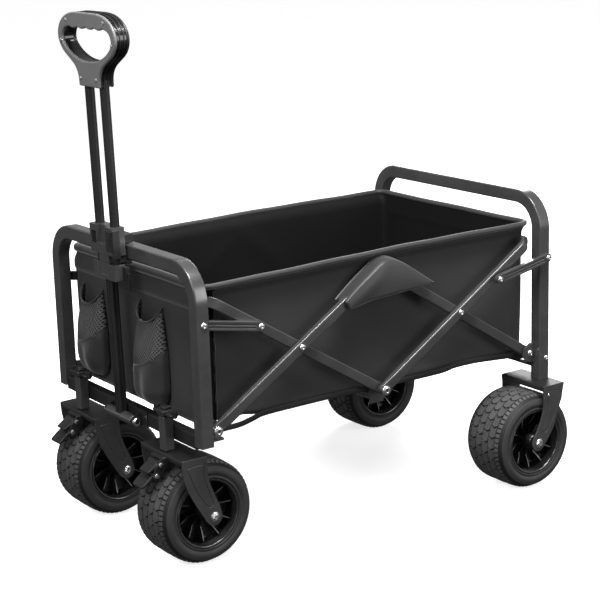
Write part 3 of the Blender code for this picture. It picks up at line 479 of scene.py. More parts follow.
def rivet(name, side, x, z, face, body, r=0.0064, proud=0.0030, mat=None, slot="zinc"):
    """A domed rivet with a small dimple, its head on the outside face at |y| = face."""
    bm = bmesh.new()
    profile = [(r * 0.98, -0.0010), (r, 0.0003), (r * 0.93, proud * 0.45), (r * 0.74, proud * 0.80),
               (r * 0.50, proud), (r * 0.36, proud * 0.98), (r * 0.26, proud * 0.70),
               (r * 0.08, proud * 0.66)]
    solid_turn(bm, [(a, side * w) for a, w in profile], (x, side * face, z), 20)
    return finish_mesh(bm, name, mat or ZINC, body, angle=50)


# ------------------------------------------------------------------ frame steel
FRONT_TOP, REAR_TOP, HOOP_HALF, HOOP_R = 0.538, 0.5573, 0.244, 0.058


def hoop(name, x, foot, top, body):
    h, r = HOOP_HALF, HOOP_R
    path = ([(x, -h, foot)] + [(x, y, z) for y, z in arc(-h + r, top - r, r, 180, 90, 20)]
            + [(x, y, z) for y, z in arc(h - r, top - r, r, 90, 0, 20)] + [(x, h, foot)])
    bm = bmesh.new()
    sweep(bm, path, rrect(0.025, 0.025, 0.0024, 4), (1, 0, 0))
    return finish_mesh(bm, name, STEEL, body, name.replace("_tube", ""), angle=60, flat=True)


P = (-0.385, 0.446)
LINK_AT = 0.0983
M = (-PX / 2, PZ + RISE / 2)
Q = (M[0] - LINK_AT * math.cos(REST), M[1] + LINK_AT * math.sin(REST))
front = hoop("front_hoop_tube", -0.3835, 0.2335, FRONT_TOP, "front_frame")
for side, tag in SIDES:
    lo, hi = sorted((side * 0.2374, side * 0.2510))
    bm = bmesh.new()
    box(bm, (-0.3950, lo, P[1] - 0.0135), (-0.360, hi, P[1] + 0.050))
    boolean(front, bm)
    rivet(f"rivet_front_link_post_{tag}", side, P[0] + 0.0035, P[1], 0.2565, "front_frame")
    rivet(f"rivet_rear_post_{tag}", side, 0.3885, 0.2462, 0.2565, "rear_frame", 0.0052, 0.0024)
hoop("rear_hoop_tube", 0.3835, 0.2045, REAR_TOP, "rear_frame")

# plastic feet closing the front uprights are part of the tube's paint; cross bars
for name, lo, hi, body in (("front_crossbar", (-0.3930, 0.2262), (-0.3740, 0.2525), "front_frame"),
                           ("rear_crossbar", (0.3720, 0.2262), (0.3950, 0.2505), "rear_frame")):
    bm = bmesh.new()
    path = [((lo[0] + hi[0]) / 2, -0.2312, (lo[1] + hi[1]) / 2), ((lo[0] + hi[0]) / 2, 0.2312, (lo[1] + hi[1]) / 2)]
    w, h = hi[0] - lo[0], hi[1] - lo[1]
    sweep(bm, path, rrect(h, w, 0.003, 4), (1, 0, 0))
    finish_mesh(bm, name + "_tube", STEEL_DARK, body, name, angle=60, flat=True)

# ------------------------------------------------------------------ braces and links
INNER, OUTER = (0.2242, 0.2362), (0.2382, 0.2502)
FB, C, RB, T = (-PX, PZ), (0.0, PZ), (PX, PZ), (0.0, PZ + RISE)
M2, Q2, P2 = (-M[0], M[1]), (-Q[0], Q[1]), (-P[0], P[1])


def along(a, b, distance):
    t = distance / math.hypot(b[0] - a[0], b[1] - a[1])
    return (a[0] + (b[0] - a[0]) * t, a[1] + (b[1] - a[1]) * t)


TIP = along(C, Q, 0.402)
TIP2 = (-TIP[0], TIP[1])


def brace(name, side, layer, a, b, body, node, tip=None):
    """A flat oval tube, pinched flat and rounded at its ends; tip is the bent end's offset."""
    mid = (layer[0] + layer[1]) / 2
    thick = layer[1] - layer[0]
    width = 0.0190
    direction = Vector((b[0] - a[0], 0, b[1] - a[1]))
    length = direction.length
    direction.normalize()
    across = Vector((0, 1, 0)).cross(direction)
    start = Vector((a[0], 0, a[1]))
    bm = bmesh.new()
    stops = []
    n = 9
    for i in range(n + 1):                      # round end
        u = math.cos(math.radians(90 * (1 - i / n))) * 0
        ang = math.radians(90 * i / n)
        stops.append((-width / 2 * math.cos(ang), max(0.04, math.sin(ang)), 0.78))
    stops += [(0.014, 1.0, 0.78), (0.024, 1.0, 0.94), (0.030, 1.0, 1.0)]
    end = length
    if not tip:
        mirror = [(length - s, w, t) for s, w, t in reversed(stops)]
        stops += mirror
    else:
        stops += [(length - 0.012, 1.0, 1.0), (length - 0.004, 1.0, 0.96)]
    rings = []
    for s, w, t in stops:
        centre = start + direction * s + Vector((0, side * mid, 0))
        rings.append((centre, direction, w, t))
    if tip:
        dx, dz, dy = tip
        for k in range(1, 8):
            f = k / 7
            bend = smooth(f * 1.15)
            centre = (start + direction * length + Vector((dx * f, 0, dz * f))
                      + Vector((0, side * (mid - dy * bend), 0)))
            w = 1.0 if f < 0.72 else math.sqrt(max(0.0, 1 - ((f - 0.72) / 0.285) ** 2))
            rings.append((centre, direction, max(w, 0.06), 0.80 - 0.1 * f))
    loops = []
    for centre, d, w, t in rings:
        loop = []
        for px, py in rrect(width, thick, 0.0024, 4):
            loop.append(bm.verts.new(centre + across * (px * w) + Vector((0, py * t, 0))))
        loops.append(loop)
    m = len(loops[0])
    for p, q in zip(loops, loops[1:]):
        for i in range(m):
            j = (i + 1) % m
            bm.faces.new((p[i], p[j], q[j], q[i]))
    bm.faces.new(loops[0][::-1])
    bm.faces.new(loops[-1])
    return finish_mesh(bm, name, STEEL, body, node, angle=60, flat=True)


def washer(name, side, at, r0, r1, lo, hi, body, mat=STEEL_DARK):
    bm = bmesh.new()
    turn(bm, [(r0, side * lo), (r1, side * lo), (r1, side * hi), (r0, side * hi)],
         (at[0], 0, at[1]), 24)
    return finish_mesh(bm, name, mat, body)


for side, tag in SIDES:
    brace(f"brace_tube_front_outer_{tag}", side, OUTER, FB, T, f"front_outer_{tag}", f"brace_front_outer_{tag}")
    brace(f"brace_tube_front_inner_{tag}", side, INNER, C, TIP, f"front_inner_{tag}", f"brace_front_inner_{tag}",
          (-0.0190, 0.0090, 0.0080))
    brace(f"brace_tube_rear_inner_{tag}", side, INNER, T, RB, f"rear_inner_{tag}", f"brace_rear_inner_{tag}")
    brace(f"brace_tube_rear_outer_{tag}", side, OUTER, C, TIP2, f"rear_outer_{tag}", f"brace_rear_outer_{tag}",
          (0.0150, 0.0130, 0.0100))
    rivet(f"rivet_front_crossing_{tag}", side, *M, 0.2502, f"front_outer_{tag}")
    rivet(f"rivet_apex_{tag}", side, *T, 0.2502, f"front_outer_{tag}")
    rivet(f"rivet_rear_crossing_{tag}", side, *M2, 0.2502, f"rear_inner_{tag}")
    rivet(f"rivet_front_foot_{tag}", side, *FB, 0.2520, "front_frame", 0.0096, 0.0040)
    rivet(f"rivet_centre_{tag}", side, *C, 0.2520, "centre_beam_body", 0.0096, 0.0040)
    rivet(f"rivet_rear_foot_{tag}", side, *RB, 0.2426, "rear_frame", 0.0066, 0.0030)

    def link(name, a, b, lo, hi, body):
        lo_s, hi_s = sorted((side * lo, side * hi))
        bm = bmesh.new()
        prism(bm, stadium(a, b, 0.0165), lo_s, hi_s)
        obj = finish_mesh(bm, name + "_bar", STEEL, body, name)
        d = Vector((b[0] - a[0], b[1] - a[1])).normalized()
        n = Vector((-d.y, d.x))
        for off in (-0.0026, 0.0026):
            p = (a[0] + d.x * 0.013 + n.x * off, a[1] + d.y * 0.013 + n.y * off)
            q = (b[0] - d.x * 0.013 + n.x * off, b[1] - d.y * 0.013 + n.y * off)
            g0, g1 = sorted((side * (hi - 0.0018), side * (hi + 0.004)))
            cut = bmesh.new()
            prism(cut, stadium(p, q, 0.0030, 5), g0, g1)
            boolean(obj, cut)
        bevelled(obj, 0.0007, 2)
        rivet(name + "_rivet", side, *b, hi, body)
        return obj
    link(f"link_front_{tag}", P, Q, 0.2384, 0.2500, f"link_front_{tag}_body")
    link(f"link_rear_{tag}", P2, Q2, 0.2570, 0.2656, f"link_rear_{tag}_body")
    rivet(f"rivet_rear_link_post_{tag}", side, *P2, 0.2662, "rear_frame")

# ------------------------------------------------------------------ wheels


def tread_radius(y):
    """Height of the tread's base over the tyre's crown, from its middle out."""
    y = abs(y)
    if y < 0.034:
        return 0.0908 - 0.0006 * (y / 0.034) ** 2
    return 0.0902 - 0.0100 * smooth((y - 0.034) / 0.0185) ** 1.1


def tyre(where, tag, centre, body):
    name = f"{where}_{tag}"
    cx, cy, cz = centre
    bm = bmesh.new()
    half = [(0.0632, 0.0455), (0.0636, 0.0494), (0.0652, 0.0512), (0.0672, 0.0506), (0.0684, 0.0499),
            (0.0697, 0.0503), (0.0712, 0.0517), (0.0742, 0.0524), (0.0775, 0.0523), (0.0806, 0.0514),
            (0.0818, 0.0508), (0.0832, 0.0506), (0.0852, 0.0490), (0.0876, 0.0460), (0.0893, 0.0420),
            (0.0902, 0.0370), (0.0906, 0.0300), (0.0908, 0.0150), (0.0909, 0.0)]
    profile = half + [(r, -y) for r, y in reversed(half[:-1])]
    turn(bm, profile, centre, 96)
    # painted shade: the crown between the tread blocks takes the near-black groove rubber
    for face in bm.faces:
        r, w = zip(*[(math.hypot(v.co.x - cx, v.co.z - cz), abs(v.co.y - cy)) for v in face.verts])
        face.material_index = 2 if min(r) > 0.0850 and max(w) < 0.0492 else 0

    def block(points, height, sink=0.0010, taper=0.86):
        """points are (angle, y) of a tread block."""
        ma = sum(p[0] for p in points) / len(points)
        my = sum(p[1] for p in points) / len(points)
        low, high = [], []
        for a, y in points:
            r = tread_radius(y)
            low.append(bm.verts.new((cx + (r - sink) * math.cos(a), cy + y, cz + (r - sink) * math.sin(a))))
            a2, y2 = ma + (a - ma) * taper, my + (y - my) * taper
            r2 = tread_radius(y2) + height
            high.append(bm.verts.new((cx + r2 * math.cos(a2), cy + y2, cz + r2 * math.sin(a2))))
        faces = [bm.faces.new(low[::-1]), bm.faces.new(high)]
        for i in range(len(points)):
            j = (i + 1) % len(points)
            faces.append(bm.faces.new((low[i], low[j], high[j], high[i])))
        # painted highlight: the tread blocks take the lighter rubber
        for face in faces:
            face.material_index = 1
    count = 27
    step = math.tau / count
    rows = [(-0.0255, 0.0), (-0.0085, 0.5), (0.0085, 0.0), (0.0255, 0.5)]
    for y0, offset in rows:
        hw = 0.0078
        for i in range(count):
            a0 = (i + offset) * step
            h = step * 0.450
            k = step * 0.10
            # bricks whose ends are slightly arrowed, so that neighbours interlock
            block([(a0 - h - k, y0 - hw), (a0 + h - k, y0 - hw), (a0 + h + k, y0), (a0 + h - k, y0 + hw),
                   (a0 - h - k, y0 + hw), (a0 - h + k, y0)], 0.0034, taper=0.93)
    lugs = 60
    step = math.tau / lugs
    for s in (-1, 1):
        for i in range(lugs):
            a0 = (i + (0.5 if s > 0 else 0)) * step
            h = step * 0.36
            block([(a0 - h, s * 0.0355), (a0 + h, s * 0.0355), (a0 + h * 1.05, s * 0.0440),
                   (a0 + h * 0.8, s * 0.0505), (a0 - h * 0.8, s * 0.0505), (a0 - h * 1.05, s * 0.0440)],
                  0.0032, 0.0012, 0.92)
    obj = finish_mesh(bm, f"tread_tyre_{name}", TYRE, body, f"tyre_{name}", angle=30,
                      mats=[TYRE, TREAD_PAINTED_HIGHLIGHT, GROOVE_PAINTED_SHADE])
    return obj


def rim(where, tag, centre, body):
    name = f"{where}_{tag}"
    cx, cy, cz = centre
    bm = bmesh.new()
    edge = [(0.0630, 0.0440), (0.0630, 0.0492), (0.0618, 0.0503), (0.0602, 0.0503), (0.0590, 0.0494),
            (0.0584, 0.0470), (0.0575, 0.0340), (0.0560, 0.0230), (0.0540, 0.0205), (0.0300, 0.0180),
            (0.0180, 0.0185), (0.0165, 0.0215), (0.0155, 0.0480), (0.0140, 0.0500), (0.0095, 0.0500),
            (0.0085, 0.0490), (0.0080, 0.0420)]
    profile = edge + [(r, -y) for r, y in reversed(edge)]
    turn(bm, profile, centre, 72)
    for face in bm.faces:
        # painted highlight: the flange faces take the lighter rim-edge plastic
        if min(math.hypot(v.co.x - cx, v.co.z - cz) for v in face.verts) > 0.0572:
            face.material_index = 1
    obj = finish_mesh(bm, f"hub_{name}", HUB, body, f"rim_{name}", angle=40,
                      mats=[HUB, RIM_EDGE_PAINTED_HIGHLIGHT])
    fins = bmesh.new()
    for s in (-1, 1):
        for i in range(10):
            a = math.tau * (i + 0.28) / 10
            d = Vector((math.cos(a), 0, math.sin(a)))
            n = Vector((-math.sin(a), 0, math.cos(a)))
            t = 0.00085
            pts = [(0.0150, 0.0190), (0.0150, 0.0300), (0.0300, 0.0270), (0.0400, 0.0340),
                   (0.0520, 0.0400), (0.0578, 0.0400), (0.0578, 0.0215)]
            c = Vector(centre)
            low = [fins.verts.new(c + d * r - n * t + Vector((0, s * y, 0))) for r, y in pts]
            high = [fins.verts.new(c + d * r + n * t + Vector((0, s * y, 0))) for r, y in pts]
            fins.faces.new(low[::-1])
            fins.faces.new(high)
            for k in range(len(pts)):
                j = (k + 1) % len(pts)
                face = fins.faces.new((low[k], low[j], high[j], high[k]))
                # painted highlight: two outer edges of each fin take the light grey
                if k in (2, 3):
                    face.material_index = 1
    finish_mesh(fins, f"hub_fins_{name}", HUB, body, mats=[HUB, FIN_EDGE_PAINTED_HIGHLIGHT], angle=30)


for side, tag in SIDES:
    for where, centre, body in (("front", (CASTER_AXLE, side * CASTER_Y, AXLE_Z), f"wheel_front_{tag}"),
                                ("rear", (REAR_AXLE, side * REAR_Y, AXLE_Z), f"wheel_rear_{tag}")):
        tyre(where, tag, centre, body)
        rim(where, tag, centre, body)
        carrier = f"caster_{tag}" if where == "front" else "rear_frame"
        reach = 0.0696 if where == "front" else 0.0606
        node = NODES[f"axle_bolt_{where}_{tag}"]
        bm = bmesh.new()
        solid_turn(bm, [(0.0050, -reach), (0.0050, reach)], centre, 16)
        for s in (-1, 1):
            solid_turn(bm, [(0.0086, s * (reach - 0.0006)), (0.0086, s * (reach + 0.0008)),
                            (0.0078, s * (reach + 0.0012))], centre, 24)
            bolt = [(0.0064, s * (reach + 0.0008)), (0.0064, s * (reach + 0.0046)), (0.0054, s * (reach + 0.0056)),
                    (0.0030, s * (reach + 0.0057)), (0.0026, s * (reach + 0.0034))]
            solid_turn(bm, bolt, centre, 6)
        finish_mesh(bm, f"axle_{where}_{tag}", ZINC, carrier, f"axle_bolt_{where}_{tag}", angle=30)

# ------------------------------------------------------------------ forks
HALF_PLATE, FORK_T, REAR_HALF = 0.069, 0.0035, 0.060
FRONT_ARM = ([(-0.4165, 0.2070), (-0.4155, 0.1880), (-0.4122, 0.1687), (-0.4060, 0.1500),
              (-0.3973, 0.1324), (-0.3880, 0.1160), (-0.3715, 0.0880)]
             + arc(CASTER_AXLE, AXLE_Z, 0.0160, 215, 370, 14)
             + [(-0.3440, 0.1120), (-0.3500, 0.1260), (-0.3570, 0.1427), (-0.3630, 0.1600),
                (-0.3660, 0.1760), (-0.3660, 0.2070)])
PANEL = [(-0.4060, 0.1925), (-0.3740, 0.1935), (-0.3735, 0.1780), (-0.3700, 0.1590),
         (-0.3630, 0.1390), (-0.3560, 0.1190), (-0.3610, 0.1130), (-0.3680, 0.1150),
         (-0.3800, 0.1310), (-0.3900, 0.1480), (-0.3985, 0.1680), (-0.4035, 0.1830)]
REAR_ARM = ([(0.3460, 0.2030), (0.3468, 0.1850), (0.3470, 0.1680), (0.3445, 0.1510),
             (0.3390, 0.1350), (0.3310, 0.1190), (0.3200, 0.1020)]
            + arc(REAR_AXLE, AXLE_Z, 0.0155, 160, 330, 14)
            + [(0.3600, 0.1010), (0.3730, 0.1200), (0.3800, 0.1400), (0.3880, 0.1600),
               (0.3935, 0.1750), (0.3960, 0.1900), (0.3990, 0.2030)])
REAR_PANEL = [(0.3560, 0.1920), (0.3880, 0.1910), (0.3860, 0.1760), (0.3800, 0.1590), (0.3720, 0.1400),
              (0.3630, 0.1240), (0.3540, 0.1130), (0.3470, 0.1130), (0.3430, 0.1180), (0.3500, 0.1330),
              (0.3550, 0.1500), (0.3565, 0.1700)]


def inset(points, amount):
    """Points moved towards the inside of a closed outline."""
    out = []
    n = len(points)
    area = sum(points[i][0] * points[(i + 1) % n][1] - points[(i + 1) % n][0] * points[i][1]
               for i in range(n))
    sign = 1 if area > 0 else -1
    for i in range(n):
        a, b, c = Vector(points[i - 1]), Vector(points[i]), Vector(points[(i + 1) % n])
        d0, d1 = (b - a).normalized(), (c - b).normalized()
        n0, n1 = Vector((-d0.y, d0.x)), Vector((-d1.y, d1.x))
        m = (n0 + n1)
        m.normalize()
        out.append(tuple(b + m * (sign * amount / max(0.4, m.dot(n1)))))
    return out


def ring_cut(obj, outline, width, lo, hi):
    bm = bmesh.new()
    inner = inset(outline, width)
    n = len(outline)
    layers = []
    for y in sorted((lo, hi)):
        layers.append(([bm.verts.new((x, y, z)) for x, z in outline],
                       [bm.verts.new((x, y, z)) for x, z in inner]))
    for i in range(n):
        j = (i + 1) % n
        (o0, i0), (o1, i1) = layers
        bm.faces.new((o0[i], o0[j], o1[j], o1[i]))
        bm.faces.new((i0[j], i0[i], i1[i], i1[j]))
        bm.faces.new((o0[j], o0[i], i0[i], i0[j]))
        bm.faces.new((o1[i], o1[j], i1[j], i1[i]))
    boolean(obj, bm)


def fork(name, yc, half, x0, x1, top, arm, panel, body, node):
    """A folded steel fork: top plate with turned-down lip, two arms each pressed with a panel."""
    objs = []
    smooth_arm = arm
    for s in (-1, 1):
        lo, hi = sorted((yc + s * half, yc + s * (half - FORK_T)))
        bm = bmesh.new()
        prism(bm, smooth_arm, lo, hi)
        obj = finish_mesh(bm, f"{name}_arm_{'out' if s > 0 else 'in'}", STEEL, body)
        face = yc + s * half
        ring_cut(obj, spline(panel, 3, True), 0.0013, face - 0.0010, face + 0.0010)
        bevelled(obj, 0.0007, 2, 50)
        objs.append(obj)
    bm = bmesh.new()
    r = 0.004
    section = [(x0, top - 0.0100), (x0, top - r)] + arc(x0 + r, top - r, r, 180, 90, 5)[1:] + [
        (x1, top), (x1, top - 0.0037), (x0 + r, top - 0.0037), (x0 + 0.0033, top - r), (x0 + 0.0033, top - 0.0100)]
    prism(bm, section, yc - half + 0.0004, yc + half - 0.0004)
    plate = finish_mesh(bm, f"{name}_plate", STEEL_DARK, body, node)
    bevelled(plate, 0.0006, 2, 50)
    return objs


for side, tag in SIDES:
    yc = side * CASTER_Y
    body = f"caster_{tag}"
    fork(f"caster_fork_{tag}", yc, HALF_PLATE, -0.4168, -0.3655, 0.2080, FRONT_ARM, PANEL, body,
         f"caster_fork_{tag}")
    bm = bmesh.new()                              # brake housing block and its links
    prism(bm, [(-0.4140, 0.2035), (-0.4280, 0.2005), (-0.4400, 0.1860), (-0.4440, 0.1700),
               (-0.4320, 0.1640), (-0.4140, 0.1880)], yc - 0.0185, yc - 0.0145)
    prism(bm, [(-0.4120, 0.2040), (-0.4230, 0.2000), (-0.4230, 0.1880), (-0.4060, 0.1690), (-0.3960, 0.1690),
               (-0.3960, 0.2040)], yc - 0.0110, yc + 0.0260)
    obj = finish_mesh(bm, f"brake_housing_{tag}", PLASTIC, body)
    bevelled(obj, 0.0010, 2)
    for x, z, n in ((-0.4285, 0.1915, "release"), (-0.4375, 0.1735, "pedal")):
        bm = bmesh.new()
        solid_turn(bm, [(0.0020, -0.0195), (0.0020, 0.0210)], (x, yc, z), 12)
        solid_turn(bm, [(0.0046, -0.0182), (0.0048, -0.0195), (0.0040, -0.0210), (0.0020, -0.0216)],
                   (x, yc, z), 16)
        finish_mesh(bm, f"brake_pin_{n}_{tag}", ZINC, body)
    # pads: shaped slabs that thin towards their far end, each on a round boss
    for n, at, length, slope, lo, hi in (("release", (-0.4285, 0.1915), 0.0265, 28, -0.0138, 0.0175),
                                         ("pedal", (-0.4375, 0.1735), 0.0330, 35, -0.0138, 0.0215)):
        m = Matrix.Translation((at[0], 0, at[1])) @ Matrix.Rotation(math.radians(-slope), 4, "Y")
        bm = bmesh.new()
        rows = [(0.0005, 0.0036, 1.0), (-0.004, 0.0040, 1.0), (-length * 0.55, 0.0034, 1.04),
                (-length * 0.85, 0.0026, 1.0), (-length * 0.98, 0.0006, 0.90)]
        loops = []
        midy = yc + (lo + hi) / 2
        for x, t, w in rows:
            hw = (hi - lo) / 2 * w * 0.97
            prof = rrect(2 * hw, max(2 * t * 0.9, 0.004), min(0.0019, t * 0.85), 4)
            loops.append([bm.verts.new(m @ Vector((x, midy + a, b - 0.0002))) for a, b in prof])
        for p, q in zip(loops, loops[1:]):
            for i in range(len(p)):
                j = (i + 1) % len(p)
                bm.faces.new((p[i], p[j], q[j], q[i]))
        bm.faces.new(loops[0][::-1])
        bm.faces.new(loops[-1])
        solid_turn(bm, [(0.0049, lo), (0.0049, hi)], (at[0], yc, at[1]), 18)
        finish_mesh(bm, f"foot_pad_{n}_{tag}", PLASTIC, f"brake_{n}_body_{tag}", f"brake_{n}_{tag}")
    yc = side * REAR_Y
    fork(f"rear_fork_{tag}", yc, REAR_HALF, 0.3455, 0.3988, 0.2040, REAR_ARM, REAR_PANEL, "rear_frame",
         f"rear_fork_{tag}")
    rivet(f"screw_rear_fork_{tag}", side, 0.3585, 0.1860, REAR_Y + REAR_HALF, "rear_frame", 0.0026, 0.0012)

# ------------------------------------------------------------------ handle
HANDLE_X, HANDLE_Z, LEAN = -0.405, 0.234, math.radians(1.2)
H = Matrix.Translation((HANDLE_X, 0, HANDLE_Z)) @ Matrix.Rotation(-LEAN, 4, "Y")
TWIN_Y, TWIN_R = 0.0265, 0.0085


def hm(bm):
    bmesh.ops.transform(bm, matrix=H, verts=bm.verts)
    return bm


def fluted(w, h, r, groove, depth):
    """A rounded bar's section, as a plain rounded rectangle."""
    pts = []
    base = rrect(w, h, r, 5)
    return base


bm = bmesh.new()
hw, hd = 0.0100, 0.0080
section = [(-hw + 0.003, hd), (-hw, hd - 0.003), (-hw, 0.0020), (-hw + 0.0014, 0.0012), (-hw + 0.0014, -0.0012),
           (-hw, -0.0020), (-hw, -hd + 0.003), (-hw + 0.0030, -hd), (-0.0052, -hd), (-0.0044, -hd + 0.0018),
           (-0.0026, -hd + 0.0018), (-0.0018, -hd), (0.0018, -hd), (0.0026, -hd + 0.0018),
           (0.0044, -hd + 0.0018), (0.0052, -hd), (hw - 0.003, -hd), (hw, -hd + 0.003), (hw, -0.0020),
           (hw - 0.0014, -0.0012), (hw - 0.0014, 0.0012), (hw, 0.0020), (hw, hd - 0.003), (hw - 0.003, hd)]
prism(bm, [(x, y) for y, x in section], 0.006, 0.2745, "xy")
finish_mesh(hm(bm), "stem_tube", STEEL_DARK, "handle_lower", "handle_stem")
bm = bmesh.new()
turn(bm, [(0.0040, -0.0448), (0.0092, -0.0448), (0.0098, -0.0440), (0.0098, 0.0440), (0.0092, 0.0448), (0.0040, 0.0448)],
     (0, 0, 0), 32)
finish_mesh(hm(bm), "stem_sleeve", STEEL, "handle_lower")
bm = bmesh.new()
solid_turn(bm, [(0.0078, -0.0491), (0.0080, -0.0545), (0.0066, -0.0562), (0.0040, -0.0564), (0.0034, -0.0548)],
           (HANDLE_X, 0, HANDLE_Z), 20)
solid_turn(bm, [(0.0066, 0.0491), (0.0066, 0.0560)], (HANDLE_X, 0, HANDLE_Z), 6)
finish_mesh(bm, "handle_pivot_bolt", ZINC, "front_frame")

for y, tag in ((-TWIN_Y, "left"), (TWIN_Y, "right")):
    bm = bmesh.new()
    prof = []
    for i in range(28):
        a = math.tau * i / 28
        r = TWIN_R
        # a flute down the front
        near = abs((a - math.pi + math.pi) % math.tau - math.pi)
        if near < 0.16:
            r = TWIN_R - 0.0013
        prof.append((r * math.cos(a), r * math.sin(a)))
    prism(bm, [(x, y + w) for x, w in prof], 0.2575, 0.6150, "xy")
    finish_mesh(hm(bm), f"upper_tube_{tag}", STEEL_DARK, "handle_upper", f"handle_tube_{tag}")

# lower collar with its hook, and the clip with its windows and jaws
bm = bmesh.new()
box(bm, (-0.0132, -0.0385, 0.2545), (0.0090, 0.0385, 0.2835))
obj = finish_mesh(hm(bm), "collar_block", STEEL, "handle_lower", "handle_collar")
cut = bmesh.new()
for y in (-TWIN_Y, TWIN_Y):
    solid_turn(cut, [(TWIN_R + 0.0004, 0.24), (TWIN_R + 0.0004, 0.30)], (0, y, 0), 28, "z")
box(cut, (-0.0140, -0.0165, 0.262), (-0.0118, 0.0165, 0.290))
boolean(obj, hm(cut))
bevelled(obj, 0.0014, 3)
bm = bmesh.new()
box(bm, (0.0020, -0.0500, 0.2560), (0.0105, -0.0386, 0.2800))
box(bm, (0.0040, -0.0535, 0.2400), (0.0085, -0.0490, 0.2700))
obj = finish_mesh(hm(bm), "collar_hook", PLASTIC, "handle_lower")
bevelled(obj, 0.0009, 2)
bm = bmesh.new()
box(bm, (-0.0145, -0.0400, 0.3000), (0.0105, 0.0400, 0.3500))
obj = finish_mesh(hm(bm), "clip_block", STEEL, "handle_lower", "handle_clip")
cut = bmesh.new()
for y in (-TWIN_Y, TWIN_Y):
    solid_turn(cut, [(TWIN_R + 0.0004, 0.26), (TWIN_R + 0.0004, 0.37)], (0, y, 0), 28, "z")
box(cut, (-0.0200, -0.0150, 0.318), (-0.0080, 0.0150, 0.360))
boolean(obj, hm(cut))
cut = bmesh.new()
box(cut, (-0.0200, TWIN_Y - 0.0085, 0.3150), (-0.0030, TWIN_Y + 0.0085, 0.3380))
boolean(obj, hm(cut))
bevelled(obj, 0.0012, 3)
bm = bmesh.new()
box(bm, (-0.0172, -0.0395, 0.3080), (-0.0120, -0.0190, 0.3440))
box(bm, (-0.0160, -0.0440, 0.2960), (-0.0020, -0.0380, 0.3460))
box(bm, (-0.0185, -0.0340, 0.3180), (-0.0160, -0.0240, 0.3340))
obj = finish_mesh(hm(bm), "clip_latch", PLASTIC, "handle_lower")
bevelled(obj, 0.0010, 2)
bm = bmesh.new()
box(bm, (-0.0120, -0.0175, 0.2840), (-0.0030, 0.0175, 0.3010))
box(bm, (-0.0110, -0.0060, 0.2840), (0.0050, 0.0060, 0.3010))
obj = finish_mesh(hm(bm), "clip_neck", STEEL, "handle_lower")
bevelled(obj, 0.0008, 2)
bm = bmesh.new()
box(bm, (-0.4060, -0.0300, 0.5522), (-0.3790, 0.0300, 0.5680))
box(bm, (-0.4012, -0.0360, 0.5165), (-0.3870, 0.0360, 0.5238))
for s in (-1, 1):
    lo, hi = sorted((s * 0.0200, s * 0.0380))
    box(bm, (-0.4125, lo, 0.5206), (-0.3982, hi, 0.5360))
obj = finish_mesh(bm, "clip_jaws", PLASTIC, "handle_lower")
bevelled(obj, 0.0012, 2)

# D-grip
OUTLINE = [(0.0000, 0.9510), (0.0400, 0.9505), (0.0660, 0.9460), (0.0860, 0.9365),
           (0.0985, 0.9215), (0.1010, 0.9060), (0.0955, 0.8920), (0.0830, 0.8800),
           (0.0620, 0.8680), (0.0470, 0.8580), (0.0385, 0.8460), (0.0360, 0.8350), (0.0360, 0.8250)]
WINDOW = [(0.0590, 0.9255), (0.0760, 0.9210), (0.0845, 0.9110), (0.0850, 0.9010),
          (0.0770, 0.8920), (0.0620, 0.8820), (0.0420, 0.8740), (0.0200, 0.8695), (0.0, 0.8685)]
right = spline(OUTLINE[:-1], 4) + [OUTLINE[-1]]
outer = [(y, z - HANDLE_Z) for y, z in right] + [(-y, z - HANDLE_Z) for y, z in reversed(right) if y > 1e-6]
wr = spline(WINDOW, 4)
hole = [(y, z) for y, z in wr] + [(-y, z) for y, z in reversed(wr) if y > 1e-6]
for i in range(1, 32):
    y = -0.0590 + 0.1180 * i / 32
    hole.append((y, 0.9255 - 0.0030 * abs(math.sin(math.pi * i / 8))))
hole = [(y, z - HANDLE_Z) for y, z in hole]
for name, lo, hi, mat, node, sl in (("grip_front_shell", -0.0150, -0.0090, GREY, "grip_shell_front", "grey_plastic"),
                                    ("grip_core", -0.0092, 0.0090, GLOSS, "grip_shell_rear", "black_plastic"),
                                    ("grip_back_shell", 0.0088, 0.0150, PLASTIC, None, "black_plastic")):
    shrink = 0.0016 if name == "grip_core" else 0.0
    bm = bmesh.new()
    prism(bm, inset(outer, shrink) if shrink else outer, lo, hi, "yz")
    obj = finish_mesh(hm(bm), name, mat, "handle_upper", node)
    cut = bmesh.new()
    prism(cut, inset(hole, -shrink) if shrink else hole, -0.03, 0.03, "yz")
    boolean(obj, hm(cut))
    bevelled(obj, 0.0042 if not shrink else 0.0008, 4, 55)
# ribs on the core's sides, and the neck's screws
bm = bmesh.new()
for k in range(2):
    x = -0.0040 + 0.0080 * k
    path = [Vector((x, y, z)) for y, z in inset(outer, 0.0012)]
    sweep(bm, path, [(0.0009, 0.0007), (-0.0009, 0.0007), (-0.0009, -0.0007), (0.0009, -0.0007)],
          (1, 0, 0), cyclic=True)
finish_mesh(hm(bm), "grip_ribs", PLASTIC, "handle_upper")
for i, (y, z) in enumerate(((-0.0270, 0.8385), (0.0270, 0.8385), (-0.0660, 0.9360), (0.0660, 0.9360),
                            (-0.0890, 0.9000), (0.0890, 0.9000))):
    bm = bmesh.new()
    solid_turn(bm, [(0.0038, 0.0008), (0.0038, -0.0005), (0.0028, -0.0009), (0.0010, -0.0010), (0.0008, -0.0003)],
               (-0.0150, y, z - HANDLE_Z), 14, "x")
    finish_mesh(hm(bm), f"grip_screw_{i}", ZINC, "handle_upper")

# ------------------------------------------------------------------ CAD pieces that stay
for name, node in NODES.items():
    if name.startswith(("caster_post_cap", "handle_hinge")):
        mat = PLASTIC
    else:
        mat = STEEL
    node.data.materials.clear()
    node.data.materials.append(mat)

